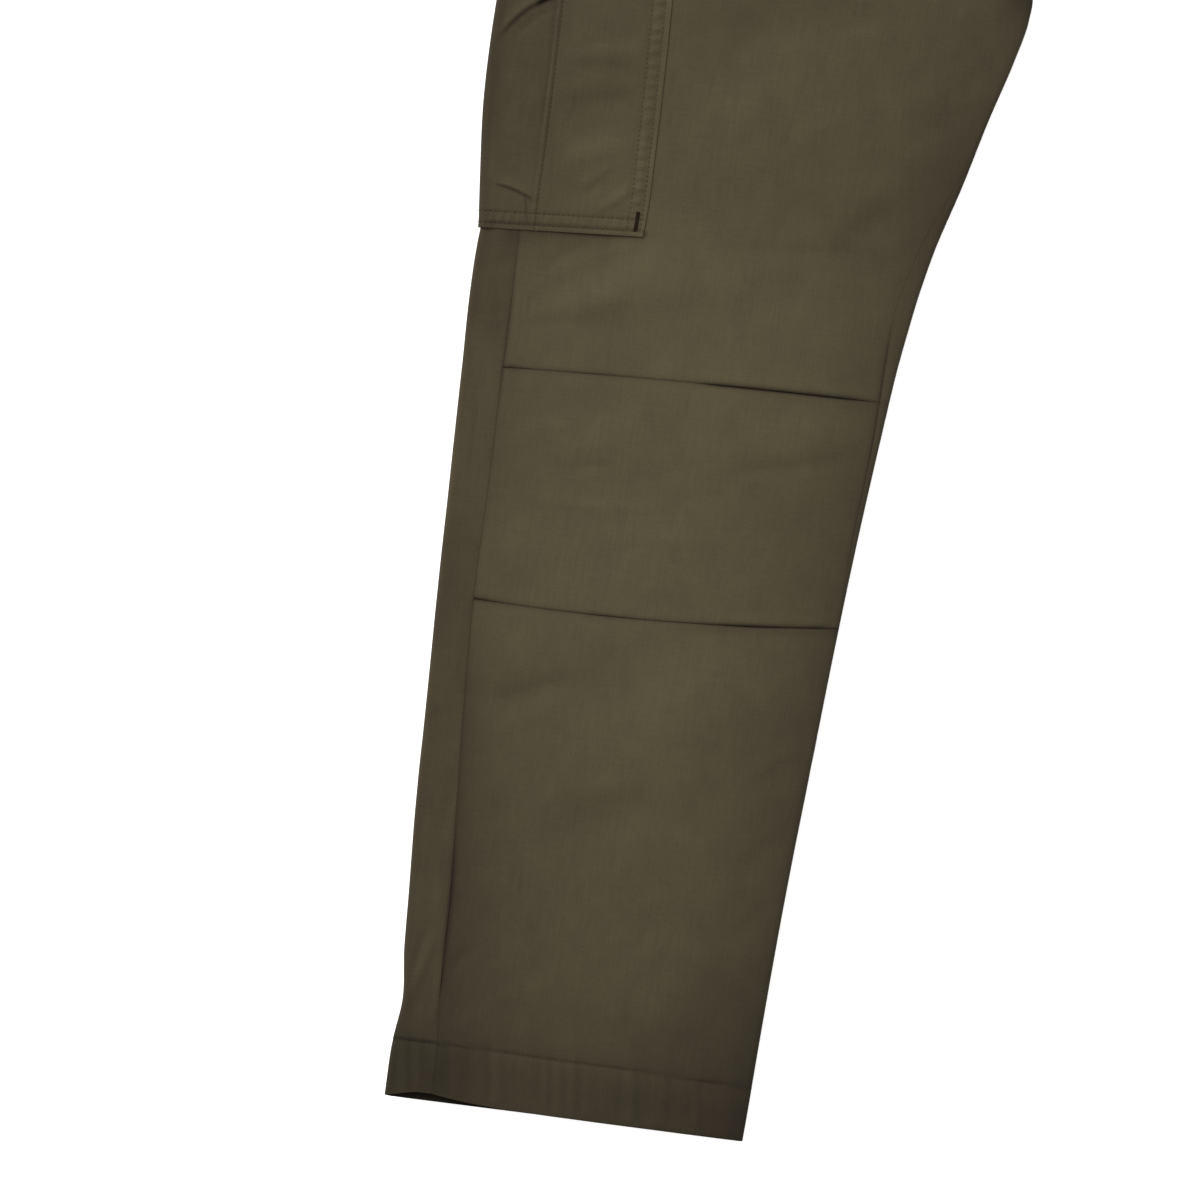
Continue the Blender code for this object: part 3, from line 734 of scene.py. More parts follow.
def back_piece(name, node, low, high, rows, material, wall, lift, shade, inside, strip_rise):
    """A piece of the right back, which wraps both edges of the leg, between two cross edges.

    It lies lift(x, level) off the leg, and its low edge is lifted by strip_rise on top, beside the outseam.
    """
    def place(u, v, off):
        number = np.rint(u).astype(int)
        rough = cross(low, 0) + v * (cross(high, 0) - cross(low, 0))
        girth = back_girth(rough, number)
        x, _, _ = around(rough, girth, 0.0)
        low_edge = cross(low, x) + SEAM_GAP / 2 + strip_rise * ease(-6, 24, girth - 2 * half_girth(rough))
        level = (1 - v) * low_edge + v * (cross(high, x) - SEAM_GAP / 2)
        return around(level, back_girth(level, number), lift(x, level) + off)

    numbers = np.arange(len(BACK_NEAR) + len(BACK_UNDER) + len(BACK_FAR))
    cloth(name, node, numbers, rows, place, wall, material, shade, inside)


# Painted light and shade

# Level, and the painted light there: painted shade falls off towards the hem and the waist
PAINTED_LIGHT_BY_LEVEL = ((0, 0.50), (25, 0.52), (45, 0.71), (60, 0.78), (80, 0.87), (105, 0.90), (160, 0.89), (240, 0.93),
        (300, 0.96), (420, 0.95), (500, 1.01), (540, 1.01), (586, 0.88), (660, 0.86), (700, 0.83),
        (1030, 0.86))
# Place across, and how much lighter the hem is there
HEM_TONE = ((-118, 1.05), (-102, 1.04), (-84, 0.97), (-70, 0.98), (-52, 1.05), (-20, 1.03), (50, 0.97),
            (114, 1.00))
EDGE_LIGHT = 0.56  # painted shade: how light the leg is at its inner fold
STRIP_LIGHT = 0.69  # painted shade: how light the strip beside the outseam is
GUSSET_LIGHT = 0.68  # how light the pocket's gusset is
CROTCH = (164.0, 738.0)  # where the crotch seams meet, in shade
CROTCH_SHADE = 0.36  # how much light that shade takes
CROTCH_REACH = 13.0  # how far it reaches
FOLD_PAINTED_LIGHT = 0.065  # painted highlight and shade: how much lighter each millimetre of a fold's height is, and darker each of a trough's depth
CREASE_PAINTED_LIGHT = 0.07  # the same painted light and shade for a crease
SHADE_DEPTH = 0.92  # how much of the light the deepest shade takes
BRIGHTEST = 1.2  # how light the places with a painted highlight may be
PLAIN_LIGHT = 0.86  # how light the waist, the fly and the left leg are


def painted_light(x, level):
    """Painted light and shade: lightest down the front of the leg, with a painted highlight on its folds.

    It is painted darker to both edges, on the strip beside the outseam, on the hem and at the crotch.
    """
    past = x - outline("outseam", level)
    low = 1 - ease(190, 340, level)
    lowest = ease(30, 42, level) - ease(80, 170, level)
    thigh = ease(610, 700, level)
    edge = EDGE_LIGHT - 0.10 * lowest + 0.16 * thigh
    at_inner = fading(outline("inner", level) - x, 39 + 30 * lowest - 11 * thigh)
    reach = 14 + 6 * low + 8 * (1 - ease(110, 200, level)) + 12 * lowest
    deep = 0.15 + 0.31 * low - 0.12 * (1 - ease(44, 80, level))
    front = (edge + (1 - edge) * (1 - at_inner)) * (1 - deep * fading(past, reach))
    strip = STRIP_LIGHT + 0.06 * low + 0.15 * between(370, 455, level, 30) + 0.13 * ease(800, 950, level)
    # painted shade on the strip towards the outer fold, where the leg rounds away
    painted_fold_shade = 0.10 + 0.12 * ease(370, 470, level) + 0.14 * (1 - ease(120, 220, level))
    strip = strip * (1 - painted_fold_shade * fading(x - outline("outer", level), 4.5))
    # painted highlight on the ridges of folds and creases, painted shade in their troughs
    relief_painted_light = FOLD_PAINTED_LIGHT * folds(x, level) + CREASE_PAINTED_LIGHT * creases(LEG_CREASES, x, level) * (past > 0)
    on_hem = 1 - ease(-3, 1, level - cross("hem stitch", x))
    hem = 1 + on_hem * (column(HEM_TONE, x) - 1)
    crotch = CROTCH_SHADE * hump(np.hypot(x - CROTCH[0], level - CROTCH[1]), CROTCH_REACH)
    return np.where(past < 0, strip, front) * column(PAINTED_LIGHT_BY_LEVEL, level) * (1 + relief_painted_light) * hem * (1 - crotch)


def with_tone(dark, light):
    """Shade that holds both a painted dark line and the cloth's painted lightness.

    The light that it leaves is the cloth's share of the brightest, times what the line leaves.
    """
    return (1 - light / BRIGHTEST * (1 - SHADE_DEPTH * np.clip(dark, 0, 1))) / SHADE_DEPTH


def leg_shade(x, level):
    """Painted shade: dark lines in the seams' grooves, along the hem's stitches and at its open edge, and
    under the pocket.
    """
    below = cross("pocket bottom", x) - level
    beside = x - pocket_front(level)
    # painted shadow just under the pocket's lower edge
    under_bag = 0.45 * (0.02 + 0.98 * between(-117, -48, x, 4)) * fading(below - 0.3, 1.2)
    under_bag = under_bag * (below > -3) * (beside < 1)
    # softer painted shade in the hollow below the pocket
    hollow = 0.28 * between(-128, -72, x, 12) * fading(below, 10)
    hollow = (hollow + 0.07 * between(-125, -60, x, 20) * fading(below, 60)) * (below > -3)
    stitch = (0.30 + 0.20 * hump(x + 102, 14)) * hump(level - cross("hem stitch", x), 1.1)
    # painted shadow along the hem's open lower edge
    rim = 0.40 * fading(level - cross("front hem", x), 1.3) * ease(-50, -30, x)
    lines = np.maximum(np.maximum(seam_shade(x, level), stitch), np.maximum(under_bag, rim))
    return with_tone(lines, painted_light(x, level) * (1 - hollow))


# Cargo pocket

# Columns of its pieces: counted under the leg and round the outer fold, then shared out on top
FOLD_ARC = np.linspace(-QUARTER, QUARTER, 11)
POCKET_COUNTED = np.concatenate((np.linspace(-POCKET_UNDER, -14, 10), FOLD_ARC[:-1]))
BAG_ON_TOP = spaced(POCKET_ON_TOP, 1.4, (0.0, 43.0, 0.8))
FLAP_ON_TOP = spaced(POCKET_ON_TOP, 1.8)
BAG_HEIGHT = 212.0
BAG_ROWS = spaced(BAG_HEIGHT, 1.5, (1.5, 34.0, 0.8), (108.0, 160.0, 0.9))
FLAP_HEIGHT = 72.0
FLAP_ROWS = spaced(FLAP_HEIGHT, 1.8)


def past_fold(girth):
    """0 round the outer fold, rising to 1 on top of the leg."""
    return ease(QUARTER, QUARTER + 6, girth)


def near_edge(low, x, level, girth, front):
    """1 along a pocket piece's front and lower edges, falling to 0 a little way in, on top of the leg."""
    inward = np.minimum(front - girth, level - cross(low, x))
    return (1 - ease(0, 7, inward)) * past_fold(girth)


def bag_lift(x, level, girth, front):
    """Height of the bag off the leg: a soft puff, the pleat's step, pressed rows, puckers and creases."""
    from_edge = front - girth
    from_bottom = level - cross("pocket bottom", x)
    inside = ease(0, 40, girth) * (1 - ease(-25, 0, -from_edge))
    puff = POCKET_PUFF * inside * ease(0, 32, from_bottom)
    past = past_pleat(x, level)
    upper = 0.3 + 0.7 * ease(595, 625, level)
    step = PLEAT_STEP * ease(-0.5, 0.6, past) * upper
    step = step * (1 - ease(-20, 0, -from_edge)) * ease(6, 16, from_bottom)
    fold = upper * (0.30 * hump(past - 1.2, 1.0) - 0.28 * hump(past + 0.9, 1.2))
    fold = fold - 0.30 * hump(past - PLEAT_SECOND, 0.9)
    rows = hump(from_edge - FRONT_ROWS[0], 0.9) + hump(from_edge - FRONT_ROWS[1], 0.9)
    rows = rows * ease(2, 4, from_bottom)
    across = hump(from_bottom - BOTTOM_ROWS[0], 0.9) + hump(from_bottom - BOTTOM_ROWS[1], 0.9)
    across = across * ease(1, 3, from_edge)
    pucker = 0.5 + 0.5 * np.sin(2 * np.pi * level / PUCKER_PITCH + wander(level, 11, 60, 2.4))
    pucker = 0.85 * pucker**2 * hump(from_edge - 7.8, 2.6) * ease(13, 19, from_bottom)
    low_pucker = 0.14 * np.sin(2 * np.pi * x / 6.1 + wander(x, 12, 40, 2.0))
    low_pucker = low_pucker * between(BOTTOM_ROWS[0] + 1, BOTTOM_ROWS[1] - 1, from_bottom, 1.2)
    low_pucker = low_pucker * ease(8, 12, from_edge)
    pressed = EDGE_PRESS * near_edge("pocket bottom", x, level, girth, front)
    lifted = 0.35 * between(-114, -52, x, 6) * hump(from_bottom - 1.2, 1.6)
    lifted = lifted + 0.12 * hump(from_edge - 1.2, 1.0)
    fine = creases(POCKET_CREASES, x, level) + unevenness(x, level, 9, 0.10)
    relief = step + fold - 0.22 * rows - 0.30 * across + pucker + low_pucker - pressed + lifted
    level_out = 0.85 * seam_relief(x, level)
    return ON_LEG + puff + past_fold(girth) * (relief + level_out + fine * ease(1, 8, from_edge))


def bag_light(x, level):
    """How light the bag is painted: darker on the gusset behind the pleat, with painted shade towards the
    outer fold and a painted highlight along its front and on its creases.
    """
    past = past_pleat(x, level)
    # painted highlight on crease ridges and along the rolled front edge, painted shade in crease troughs
    relief_painted_light = CREASE_PAINTED_LIGHT * creases(POCKET_CREASES, x, level) + 0.14 * hump(pocket_front(level) - x - 3, 5)
    low = 0.10 * (1 - ease(-4, 14, past)) * (1 - ease(560, 600, level))
    low = low + 0.08 * ease(10, 40, past) * (1 - ease(590, 640, level))
    across = 0.12 * ease(-4, 14, past) + 0.07 * ease(38, 66, past)
    # painted shade towards the outer fold, where the pocket rounds away
    painted_fold_shade = 1 - 0.34 * fading(x - outline("outer", level), 6.5)
    return (GUSSET_LIGHT + low + across + 0.03 * ease(650, 690, level)) * (1 + relief_painted_light) * painted_fold_shade


def pocket_plain(x, level):
    """The pocket's painted light, without its painted dark lines."""
    return with_tone(0.0, bag_light(x, level))


# Painted shade lines on the bag: from one point to another and the bow, as the creases, then half width and
# darkness
POCKET_SHADES = (
    (-146, 567, -118, 560, 1.8, 1.0, 0.45),
    (-125, 564, -121, 546, 0.3, 0.9, 0.28),
    (-160, 654, -120, 693, 6.0, 1.6, 0.34),
    (-141, 680, -112, 696, 1.6, 1.8, 0.95),
)


def bag_shade(x, level):
    """Painted shade on the bag: beside the pleat, in its sharp creases, and along the pressed rows."""
    past = past_pleat(x, level)
    from_bottom = level - cross("pocket bottom", x)
    from_edge = pocket_front(level) - x
    upper = 0.25 + 0.75 * ease(595, 625, level)
    pleat = np.maximum(0.24 * upper * hump(past + 0.5, 0.9), 0.14 * hump(past - PLEAT_SECOND, 0.8))
    rows = 0.07 * (hump(from_edge - FRONT_ROWS[0], 0.8) + hump(from_edge - FRONT_ROWS[1], 0.8))
    across = 0.34 * hump(from_bottom - BOTTOM_ROWS[0], 0.9) + 0.18 * hump(from_bottom - BOTTOM_ROWS[1], 0.8)
    dark = np.maximum(np.maximum(pleat, rows), across)
    for *line, wide, deep in POCKET_SHADES:
        along, aside = beside_line(line, x, level)
        dark = np.maximum(dark, deep * line_ends(along, 0.2) * hump(aside, wide))
    return with_tone(dark, bag_light(x, level))


def flap_lift(x, level, girth, front):
    """Height of the flap off the leg: over the bag, then down to the leg above it, with pressed rows."""
    low, high = cross("flap edge", x), cross("flap top", x)
    share = (level - low) / (high - low)
    over_bag = ON_LEG + (POCKET_PUFF + PLEAT_STEP) * ease(-10, 20, girth)
    height = ON_LEG + over_bag * (1 - ease(0.76, 0.98, share))
    nearest = np.minimum(front - girth, level - low)
    rows = hump(nearest - EDGE_ROW, 0.8) + hump(nearest - SECOND_ROW, 0.8)
    rows = rows + hump(high - level - EDGE_ROW, 0.8)
    pucker = 0.18 * np.sin(2 * np.pi * (x + level) / 6.6 + wander(level, 21, 50, 1.2))
    pucker = pucker * between(EDGE_ROW + 1, SECOND_ROW - 1, nearest, 1.2)
    pressed = EDGE_PRESS * near_edge("flap edge", x, level, girth, front) + 0.3 * hump(high - level, 1.0)
    return height + past_fold(girth) * (pucker - 0.32 * rows - pressed + unevenness(x, level, 13, 0.07))


def pocket_piece(name, node, low, high, wider, on_top, rows, lift, shade, material):
    """A piece of the cargo pocket, from underneath the leg round its outer fold to its front edge.

    The wall is thinner where the edges are pressed.
    """
    counted = len(POCKET_COUNTED)

    def place(u, v, off):
        number = np.rint(u).astype(int)

        def girth_at(level):
            front = girth_of(pocket_front(level) + wider, level)
            shared = QUARTER + entry(on_top, number, counted) * (front - QUARTER)
            return np.where(number < counted, entry(POCKET_COUNTED, number), shared), front

        rough = (1 - v) * cross(low, POCKET_MIDDLE) + v * cross(high, POCKET_MIDDLE)
        girth, front = girth_at(rough)
        x, _, _ = around(rough, girth, 0.0)
        level = (1 - v) * cross(low, x) + v * cross(high, x)
        thin = EDGE_THIN * near_edge(low, x, level, girth, front) * (off < 0)
        return around(level, girth, lift(x, level, girth, front) + off * (1 - thin))

    def piece_shade(u, v, x, level, height):
        return np.where(u >= counted, shade(x, level), pocket_plain(x, level))

    cloth(name, node, np.arange(counted + len(on_top)), rows, place, SHELL, material, piece_shade)


# Fly and waistband

BAND_HEIGHT = 38.0
BAND_ROWS = spaced(BAND_HEIGHT, 1.5)
BAND_PLUMP = {"front": 1.0, "back": 0.6}  # how much of the waistband's relief each half has


def fold_strip(name, node, low, high, on_top, out, material, wall):
    """A strip that comes round the centre-front fold from below and ends on top."""
    top_side = -on_top - QUARTER + on_top * np.concatenate((spaced(on_top, 1.5)[:-1], (0.98,)))
    offsets = np.concatenate((top_side, FOLD_ARC, (QUARTER + LAP_UNDER / 2, QUARTER + LAP_UNDER)))
    length = cross(high, 0) - cross(low, 0)

    def place(u, v, off):
        offset = offsets[np.rint(u).astype(int)]
        rough = cross(low, 0) + v * length
        x, _, _ = around(rough, half_girth(rough) + offset, 0.0)
        level = (1 - v) * (cross(low, x) + SEAM_GAP) + v * (cross(high, x) - SEAM_GAP)
        pressed = 0.3 * hump(offset + on_top + QUARTER - EDGE_ROW, 0.8)
        rolled = 0.4 * hump(offset + on_top + QUARTER, 0.9)
        return around(level, half_girth(level) + offset, out - pressed - rolled + off)

    cloth(name, node, np.arange(len(offsets)), spaced(length, 2.5), place, wall, material)


def band_lift(side, x, level):
    """How far a half of the waistband lies off the leg.

    Its rows of stitches press it in near both edges, and between them it swells.
    """
    up, down = level - cross(side + " waist seam", x), cross(side + " waist", x) - level
    pressed = hump(up - EDGE_ROW, 0.9) + hump(down - EDGE_ROW, 0.9)
    rolled = hump(up, 0.9) + hump(down, 1.2)
    swell = 0.35 * between(6, 40, up, 5) * ease(2, 9, down)
    waves = 0.10 * np.sin(2 * np.pi * x / 17 + wander(x, 31, 90, 2.0))
    return BAND_RAISE + BAND_PLUMP[side] * (swell - 0.32 * pressed - 0.35 * rolled + waves)


def front_band(material):
    """The right half of the waistband, in front: each point's level is read twice, as it moves its place."""
    low, high = "front waist seam", "front waist"
    first, last = cross(low, 0) + SEAM_GAP / 2, cross(high, 0) - SEAM_GAP / 2
    width = float(inseam_girth(first) - outseam_girth(first))

    def place(u, v, off):
        straight = first + v * (last - first)
        level = straight
        for _ in range(2):
            start, end = outseam_girth(level) + SEAM_GAP / 2, inseam_girth(level) - SEAM_GAP / 2
            girth = start + u * (end - start)
            x, _, _ = around(level, girth, 0.0)
            level = straight + cross(low, x) - cross(low, 0)
        return around(level, girth, band_lift("front", x, level) + off)

    cloth("waistband_front_cloth", "waistband_right_front", spaced(width, 2.2), spaced(last - first, 1.5),
          place, BAND_SHELL, material)


# The left leg, folded under


def under_top(x, level):
    """Height of the hidden leg, which gives way where the pocket and the laps reach under the top leg."""
    outer, inner = outline("outer", level), outline("inner", level)
    beside = 1 - ease(POCKET_UNDER + 30, POCKET_UNDER + 60, x - outer)
    bag = between(cross("pocket bottom", x) - 20, cross("pocket mouth", x) + 20, level, 18) * beside
    flap = between(cross("flap edge", x) - 20, cross("flap top", x) + 20, level, 18) * beside
    laps = ease(755, 780, level) * (1 - ease(40, 70, inner - x))
    band = (BAND_RAISE + LAY_GAP) * ease(925, 950, level)
    return UNDER_LEG - (WALL + LAY_GAP) * (bag + flap) - (BAND_WALL + LAY_GAP) * laps - band


UNDER_LOBES = np.linspace(0, 1, 21)
UNDER_ACROSS = np.concatenate(([0, 0.01, 0.03, 0.06], np.linspace(0.1, 0.9, 9), [0.94, 0.97, 0.99, 1]))


def under_columns(u):
    """Which part of the hidden leg's section each column is on, and its share of the way along that part.

    The columns go up the outer edge, over the top, down the inner edge and back underneath.
    """
    number = np.rint(u).astype(int)
    lobes, across = len(UNDER_LOBES), len(UNDER_ACROSS)
    on_low = number < lobes
    on_top = (number >= lobes) & (number < lobes + across)
    on_high = (number >= lobes + across) & (number < 2 * lobes + across)
    rise = np.where(on_low, entry(UNDER_LOBES, number), 1 - entry(UNDER_LOBES, number, lobes + across))
    back = 1 - entry(UNDER_ACROSS, number, 2 * lobes + across)
    share = np.where(on_top, entry(UNDER_ACROSS, number, lobes), back)
    return on_low, on_top, on_high, rise, share


def under_place(u, v, off):
    """Point on the hidden leg.

    Each edge has two lobes, one for each layer, which follow a sine's absolute value on the way up, and the
    groove between them wanders a little along the leg.
    """
    on_low, on_top, on_high, rise, share = under_columns(u)
    station = UNDER_HEM + v * (UNDER_WAIST - UNDER_HEM)
    _, hem_slope, _ = CROSS["hem"]
    slope = hem_slope * (1 - ease(0, 300, station))
    low_x = outline("outer", station) + UNDER_INSET
    high_x = outline("inner", station) - UNDER_INSET
    middle = 0.5 + wander(station, 41, 160, 0.05)
    warped = np.where(rise < middle, rise / middle / 2, 0.5 + (rise - middle) / (1 - middle) / 2)
    lobe = np.abs(np.sin(2 * np.pi * warped)) ** 0.7
    inset = EDGE_GROOVE * (1 - lobe) + UNDER_SLACK + wander(station + 300 * (rise > middle), 43, 120, 0.35)
    flat_low, flat_high = low_x + EDGE_GROOVE, high_x - EDGE_GROOVE
    edge_x = np.where(on_low, low_x + inset, high_x - inset)
    x = np.where(on_low | on_high, edge_x, flat_low + share * (flat_high - flat_low))
    level = station + slope * x
    top = under_top(np.clip(x, flat_low, flat_high), level) - UNDER_LOWER
    height = np.where(on_low | on_high, rise * top, np.where(on_top, top, 0.0))
    inward = np.where(on_low | on_high, (0.5 - rise) * 2, np.where(on_top, -1.0, 1.0))
    sideways = np.where(on_low, 1.0, np.where(on_high, -1.0, 0.0)) * (1 - np.abs(inward) ** 3)
    return x - off * sideways, level, height - off * inward


def under_inside(u, v, x, level, height):
    """Painted shade on the left leg's inside, all but its two ends."""
    return 0.5 + 0.45 * ease(0.004, 0.02, v) * (1 - ease(0.985, 0.998, v))


def under_shade(u, v, x, level, height):
    """Painted shade in the groove between the left leg's two layers."""
    on_low, _, on_high, rise, _ = under_columns(u)
    return with_tone(np.where(on_low | on_high, 0.75 * hump(rise - 0.5, 0.10), 0.0), PLAIN_LIGHT)


def left_leg(material):
    """The left leg's cloth: a flattened tube, open at the hem and the waist, whose edges show two layers."""
    count = 2 * len(UNDER_LOBES) + 2 * len(UNDER_ACROSS)
    cloth("left_leg_layers", "left_leg_folded_under", np.arange(count), spaced(UNDER_WAIST - UNDER_HEM, 4.0),
          under_place, UNDER_SHELL, material, under_shade, under_inside, closed=True)


# Sewing

BAG_CORNER = 552.0  # level of the bag's lower front corner
FLAP_CORNER = 730.0  # of the flap's lower one
FLAP_TOP_CORNER = 780.0  # and of its upper one
STITCH_PITCH = 3.0
STITCH_LONG = 2.2
THREAD = 0.27  # half the thread's thickness
ABOVE = 0.12  # how far the thread's middle lies above the cloth
# Rings of a stitch: place from its middle in half lengths, share of its thickness, and height in half
# thicknesses
ROD_ALONG = np.array([-1.0, -0.78, -0.3, 0.3, 0.78, 1.0])
ROD_THICK = np.array([0.2, 0.75, 1.0, 1.0, 0.75, 0.2])
ROD_DIP = np.array([-1.3, -0.5, 0.0, 0.0, -0.5, -1.3])
ROD_SIDES = 5


def run_on(girth, level, out):
    """A run of stitches on the right leg's surface: its points, and the way off the surface at each."""
    point = np.stack(around(level, girth, out), axis=-1)
    off = np.stack(around(level, girth, out + 1.0), axis=-1) - point
    return point, off / np.linalg.norm(off, axis=1, keepdims=True)


def beside_edge(edge, up, girth, start):
    """Place and level of a run beside a cross edge.

    They are read twice, from a level near the edge, because each depends on the other.
    """
    level = np.full(girth.shape, start)
    for _ in range(2):
        x, _, _ = around(level, girth, 0.0)
        level = cross(edge, x) + up
    return x, level


def along_run(at, reach, values):
    """A run's points or ways at lengths along it."""
    return np.stack([np.interp(at, reach, values[:, i]) for i in range(3)], axis=-1)


def rod_faces(count):
    """Faces of so many rods: quads between neighbouring rings, and a face at each end."""
    sides, last = ROD_SIDES, ROD_SIDES * (len(ROD_ALONG) - 1)
    beside = [(j, (j + 1) % sides) for j in range(sides)]
    faces = [[ring + a, ring + b, ring + sides + b, ring + sides + a]
             for ring in range(0, last, sides) for a, b in beside]
    faces += [list(range(sides))[::-1], list(range(last, last + sides))]
    return [[corner + (last + sides) * k for corner in face] for k in range(count) for face in faces]


def sew(name, runs, material, light=painted_light, pitch=STITCH_PITCH, long=STITCH_LONG, thread=THREAD):
    """Stitches along runs: each is a five-sided rod whose ends thin out and dip into the cloth."""
    turn = np.linspace(0, 2 * np.pi, ROD_SIDES, endpoint=False)
    points = []
    for point, off in runs:
        reach = np.concatenate(([0], np.cumsum(np.linalg.norm(np.diff(point, axis=0), axis=1))))
        count = max(int(reach[-1] / pitch), 1)
        centre = (np.arange(count) + 0.5) * reach[-1] / count
        at = centre[:, None] + ROD_ALONG * long / 2
        normal = along_run(at, reach, off)
        way = along_run(at + 0.2, reach, point) - along_run(at - 0.2, reach, point)
        side = np.cross(normal, way)
        side = side / np.maximum(np.linalg.norm(side, axis=-1, keepdims=True), 1e-9)
        middle = along_run(at, reach, point) + normal * (ROD_DIP * thread)[None, :, None]
        ring = np.cos(turn)[:, None] * side[:, :, None, :] + np.sin(turn)[:, None] * normal[:, :, None, :]
        points.append(middle[:, :, None, :] + ring * (ROD_THICK * thread)[None, :, None, None])
    points = np.concatenate(points)
    x, level, height = points.reshape(-1, 3).T
    # the thread takes the painted light and shade of the cloth where it is sewn
    piece = new_piece(name, to_row(x, level, height), rod_faces(len(points)), material,
                      with_tone(0.0, light(x, level)))
    dress(piece)
    return piece


def hem_sewing(thread):
    """One row all round the hem's top side, a little wavy."""
    level = np.full(240, cross("hem stitch", 0))
    girth = np.linspace(-8, half_girth(cross("hem stitch", 0)) + 8, 240)
    x, _, _ = around(level, girth, 0.0)
    row = cross("hem stitch", x) + wander(x, 51, 60, 0.35)
    return sew("hem_stitches", [run_on(girth, row, ABOVE)], thread)


def pocket_run(girth, level, lift=bag_lift, wider=0.0):
    """A run on a pocket piece: its height off the leg is the piece's own."""
    front = girth_of(pocket_front(level) + wider, level)
    x, _, _ = around(level, girth, 0.0)
    return run_on(girth, level, lift(x, level, girth, front) + ABOVE)


def pocket_sewing(thread):
    """Two rows beside the bag's front edge, two above its bottom, and one on the pleat."""
    runs = []
    low, high = cross("pocket bottom", -50) + BOTTOM_ROWS[0], cross("pocket mouth", -60) - 6
    for inset in FRONT_ROWS:
        level = np.linspace(low, high, 300)
        runs.append(pocket_run(girth_of(pocket_front(level) - inset, level), level))
    for up in BOTTOM_ROWS:
        corner = girth_of(pocket_front(BAG_CORNER) - FRONT_ROWS[0], BAG_CORNER)
        girth = np.linspace(-14, corner, 220)
        _, level = beside_edge("pocket bottom", up, girth, 546.0)
        runs.append(pocket_run(girth, level))
    level = np.linspace(cross("pocket bottom", -116) + BOTTOM_ROWS[0], cross("pocket mouth", -128) - 6, 300)
    runs.append(pocket_run(girth_of(column(PLEAT, level) + PLEAT_SECOND, level), level))
    return sew("pocket_stitches", runs, thread, bag_light)


def bartack(thread):
    """A dense bar of thread at the pocket's lower front corner, between the two rows."""
    inset, low, high = BARTACK
    runs = []
    for up in np.arange(low, high, BARTACK_PITCH):
        level = cross("pocket bottom", -53) + up + np.zeros(8)
        x = pocket_front(level) - inset + np.linspace(-BARTACK_HALF, BARTACK_HALF, 8)
        runs.append(pocket_run(girth_of(x, level), level))
    return sew("pocket_bartack", runs, thread, bag_light, 2 * BARTACK_HALF, 2 * BARTACK_HALF, 0.33)


def flap_sewing(thread):
    """Two rows round the flap's edge and one along its top."""
    def flap_run(girth, level):
        return pocket_run(girth, level, flap_lift, FLAP_SIDE)

    runs = []
    for inset in (EDGE_ROW, SECOND_ROW):
        edge_x = pocket_front(FLAP_CORNER) + FLAP_SIDE - inset
        girth = np.linspace(-30, girth_of(edge_x, FLAP_CORNER), 200)
        _, level = beside_edge("flap edge", inset, girth, 702.0)
        runs.append(flap_run(girth, level))
        level = np.linspace(cross("flap edge", edge_x) + inset, cross("flap top", edge_x) - 1.5, 80)
        runs.append(flap_run(girth_of(pocket_front(level) + FLAP_SIDE - inset, level), level))
    edge_x = pocket_front(FLAP_TOP_CORNER) + FLAP_SIDE - 2
    girth = np.linspace(-30, girth_of(edge_x, FLAP_TOP_CORNER), 200)
    _, level = beside_edge("flap top", -EDGE_ROW, girth, 772.0)
    runs.append(flap_run(girth, level))
    return sew("flap_stitches", runs, thread, bag_light)


def band_sewing(thread):
    """Rows near both edges of the waistband, round the buttoned end, and beside the fly lap's edge."""
    runs = []
    for side in ("front", "back"):
        for edge, up in ((side + " waist seam", EDGE_ROW), (side + " waist", -EDGE_ROW)):
            at = cross(edge, 0)
            first, last = outseam_girth(at) + 2, half_girth(at) - QUARTER - BAND_END_ON_TOP - 1
            if side == "back":
                first, last = -14, outseam_girth(at) - 1.5
            girth = np.linspace(first, last, 260)
            x, level = beside_edge(edge, up, girth, at)
            runs.append(run_on(girth, level, band_lift(side, x, level) + ABOVE))
    for edge, up in (("front waist seam", EDGE_ROW), ("front waist", -EDGE_ROW)):
        level = np.full(60, cross(edge, 0))
        lap = np.linspace(EDGE_ROW, BAND_END_ON_TOP + 8, 60)
        girth = half_girth(level) - QUARTER - BAND_END_ON_TOP + lap
        x, _, _ = around(level, girth, 0.0)
        runs.append(run_on(girth, cross(edge, x) + up, LAP_LIFT + 0.1))
    level = np.linspace(cross("front waist seam", 0) + 4.5, cross("front waist", 0) - 4.5, 40)
    runs.append(run_on(half_girth(level) - QUARTER - BAND_END_ON_TOP + EDGE_ROW, level, LAP_LIFT - 0.2))
    level = np.linspace(cross("fly end", 0) + 3, cross("front waist seam", 0) - 2, 160)
    runs.append(run_on(half_girth(level) - QUARTER - FLY_ON_TOP + EDGE_ROW, level, ON_LEG - 0.2))
    return sew("waist_stitches", runs, thread)


# Button

BUTTON_HOLES = 1.9  # from the middle to each hole, along both ways
BUTTON_RIM = 6.6  # where the rim starts to round
BUTTON_DISH = 0.9  # how deep its middle is sunk
HOLE_DEPTH = 1.1  # and how much deeper its holes are


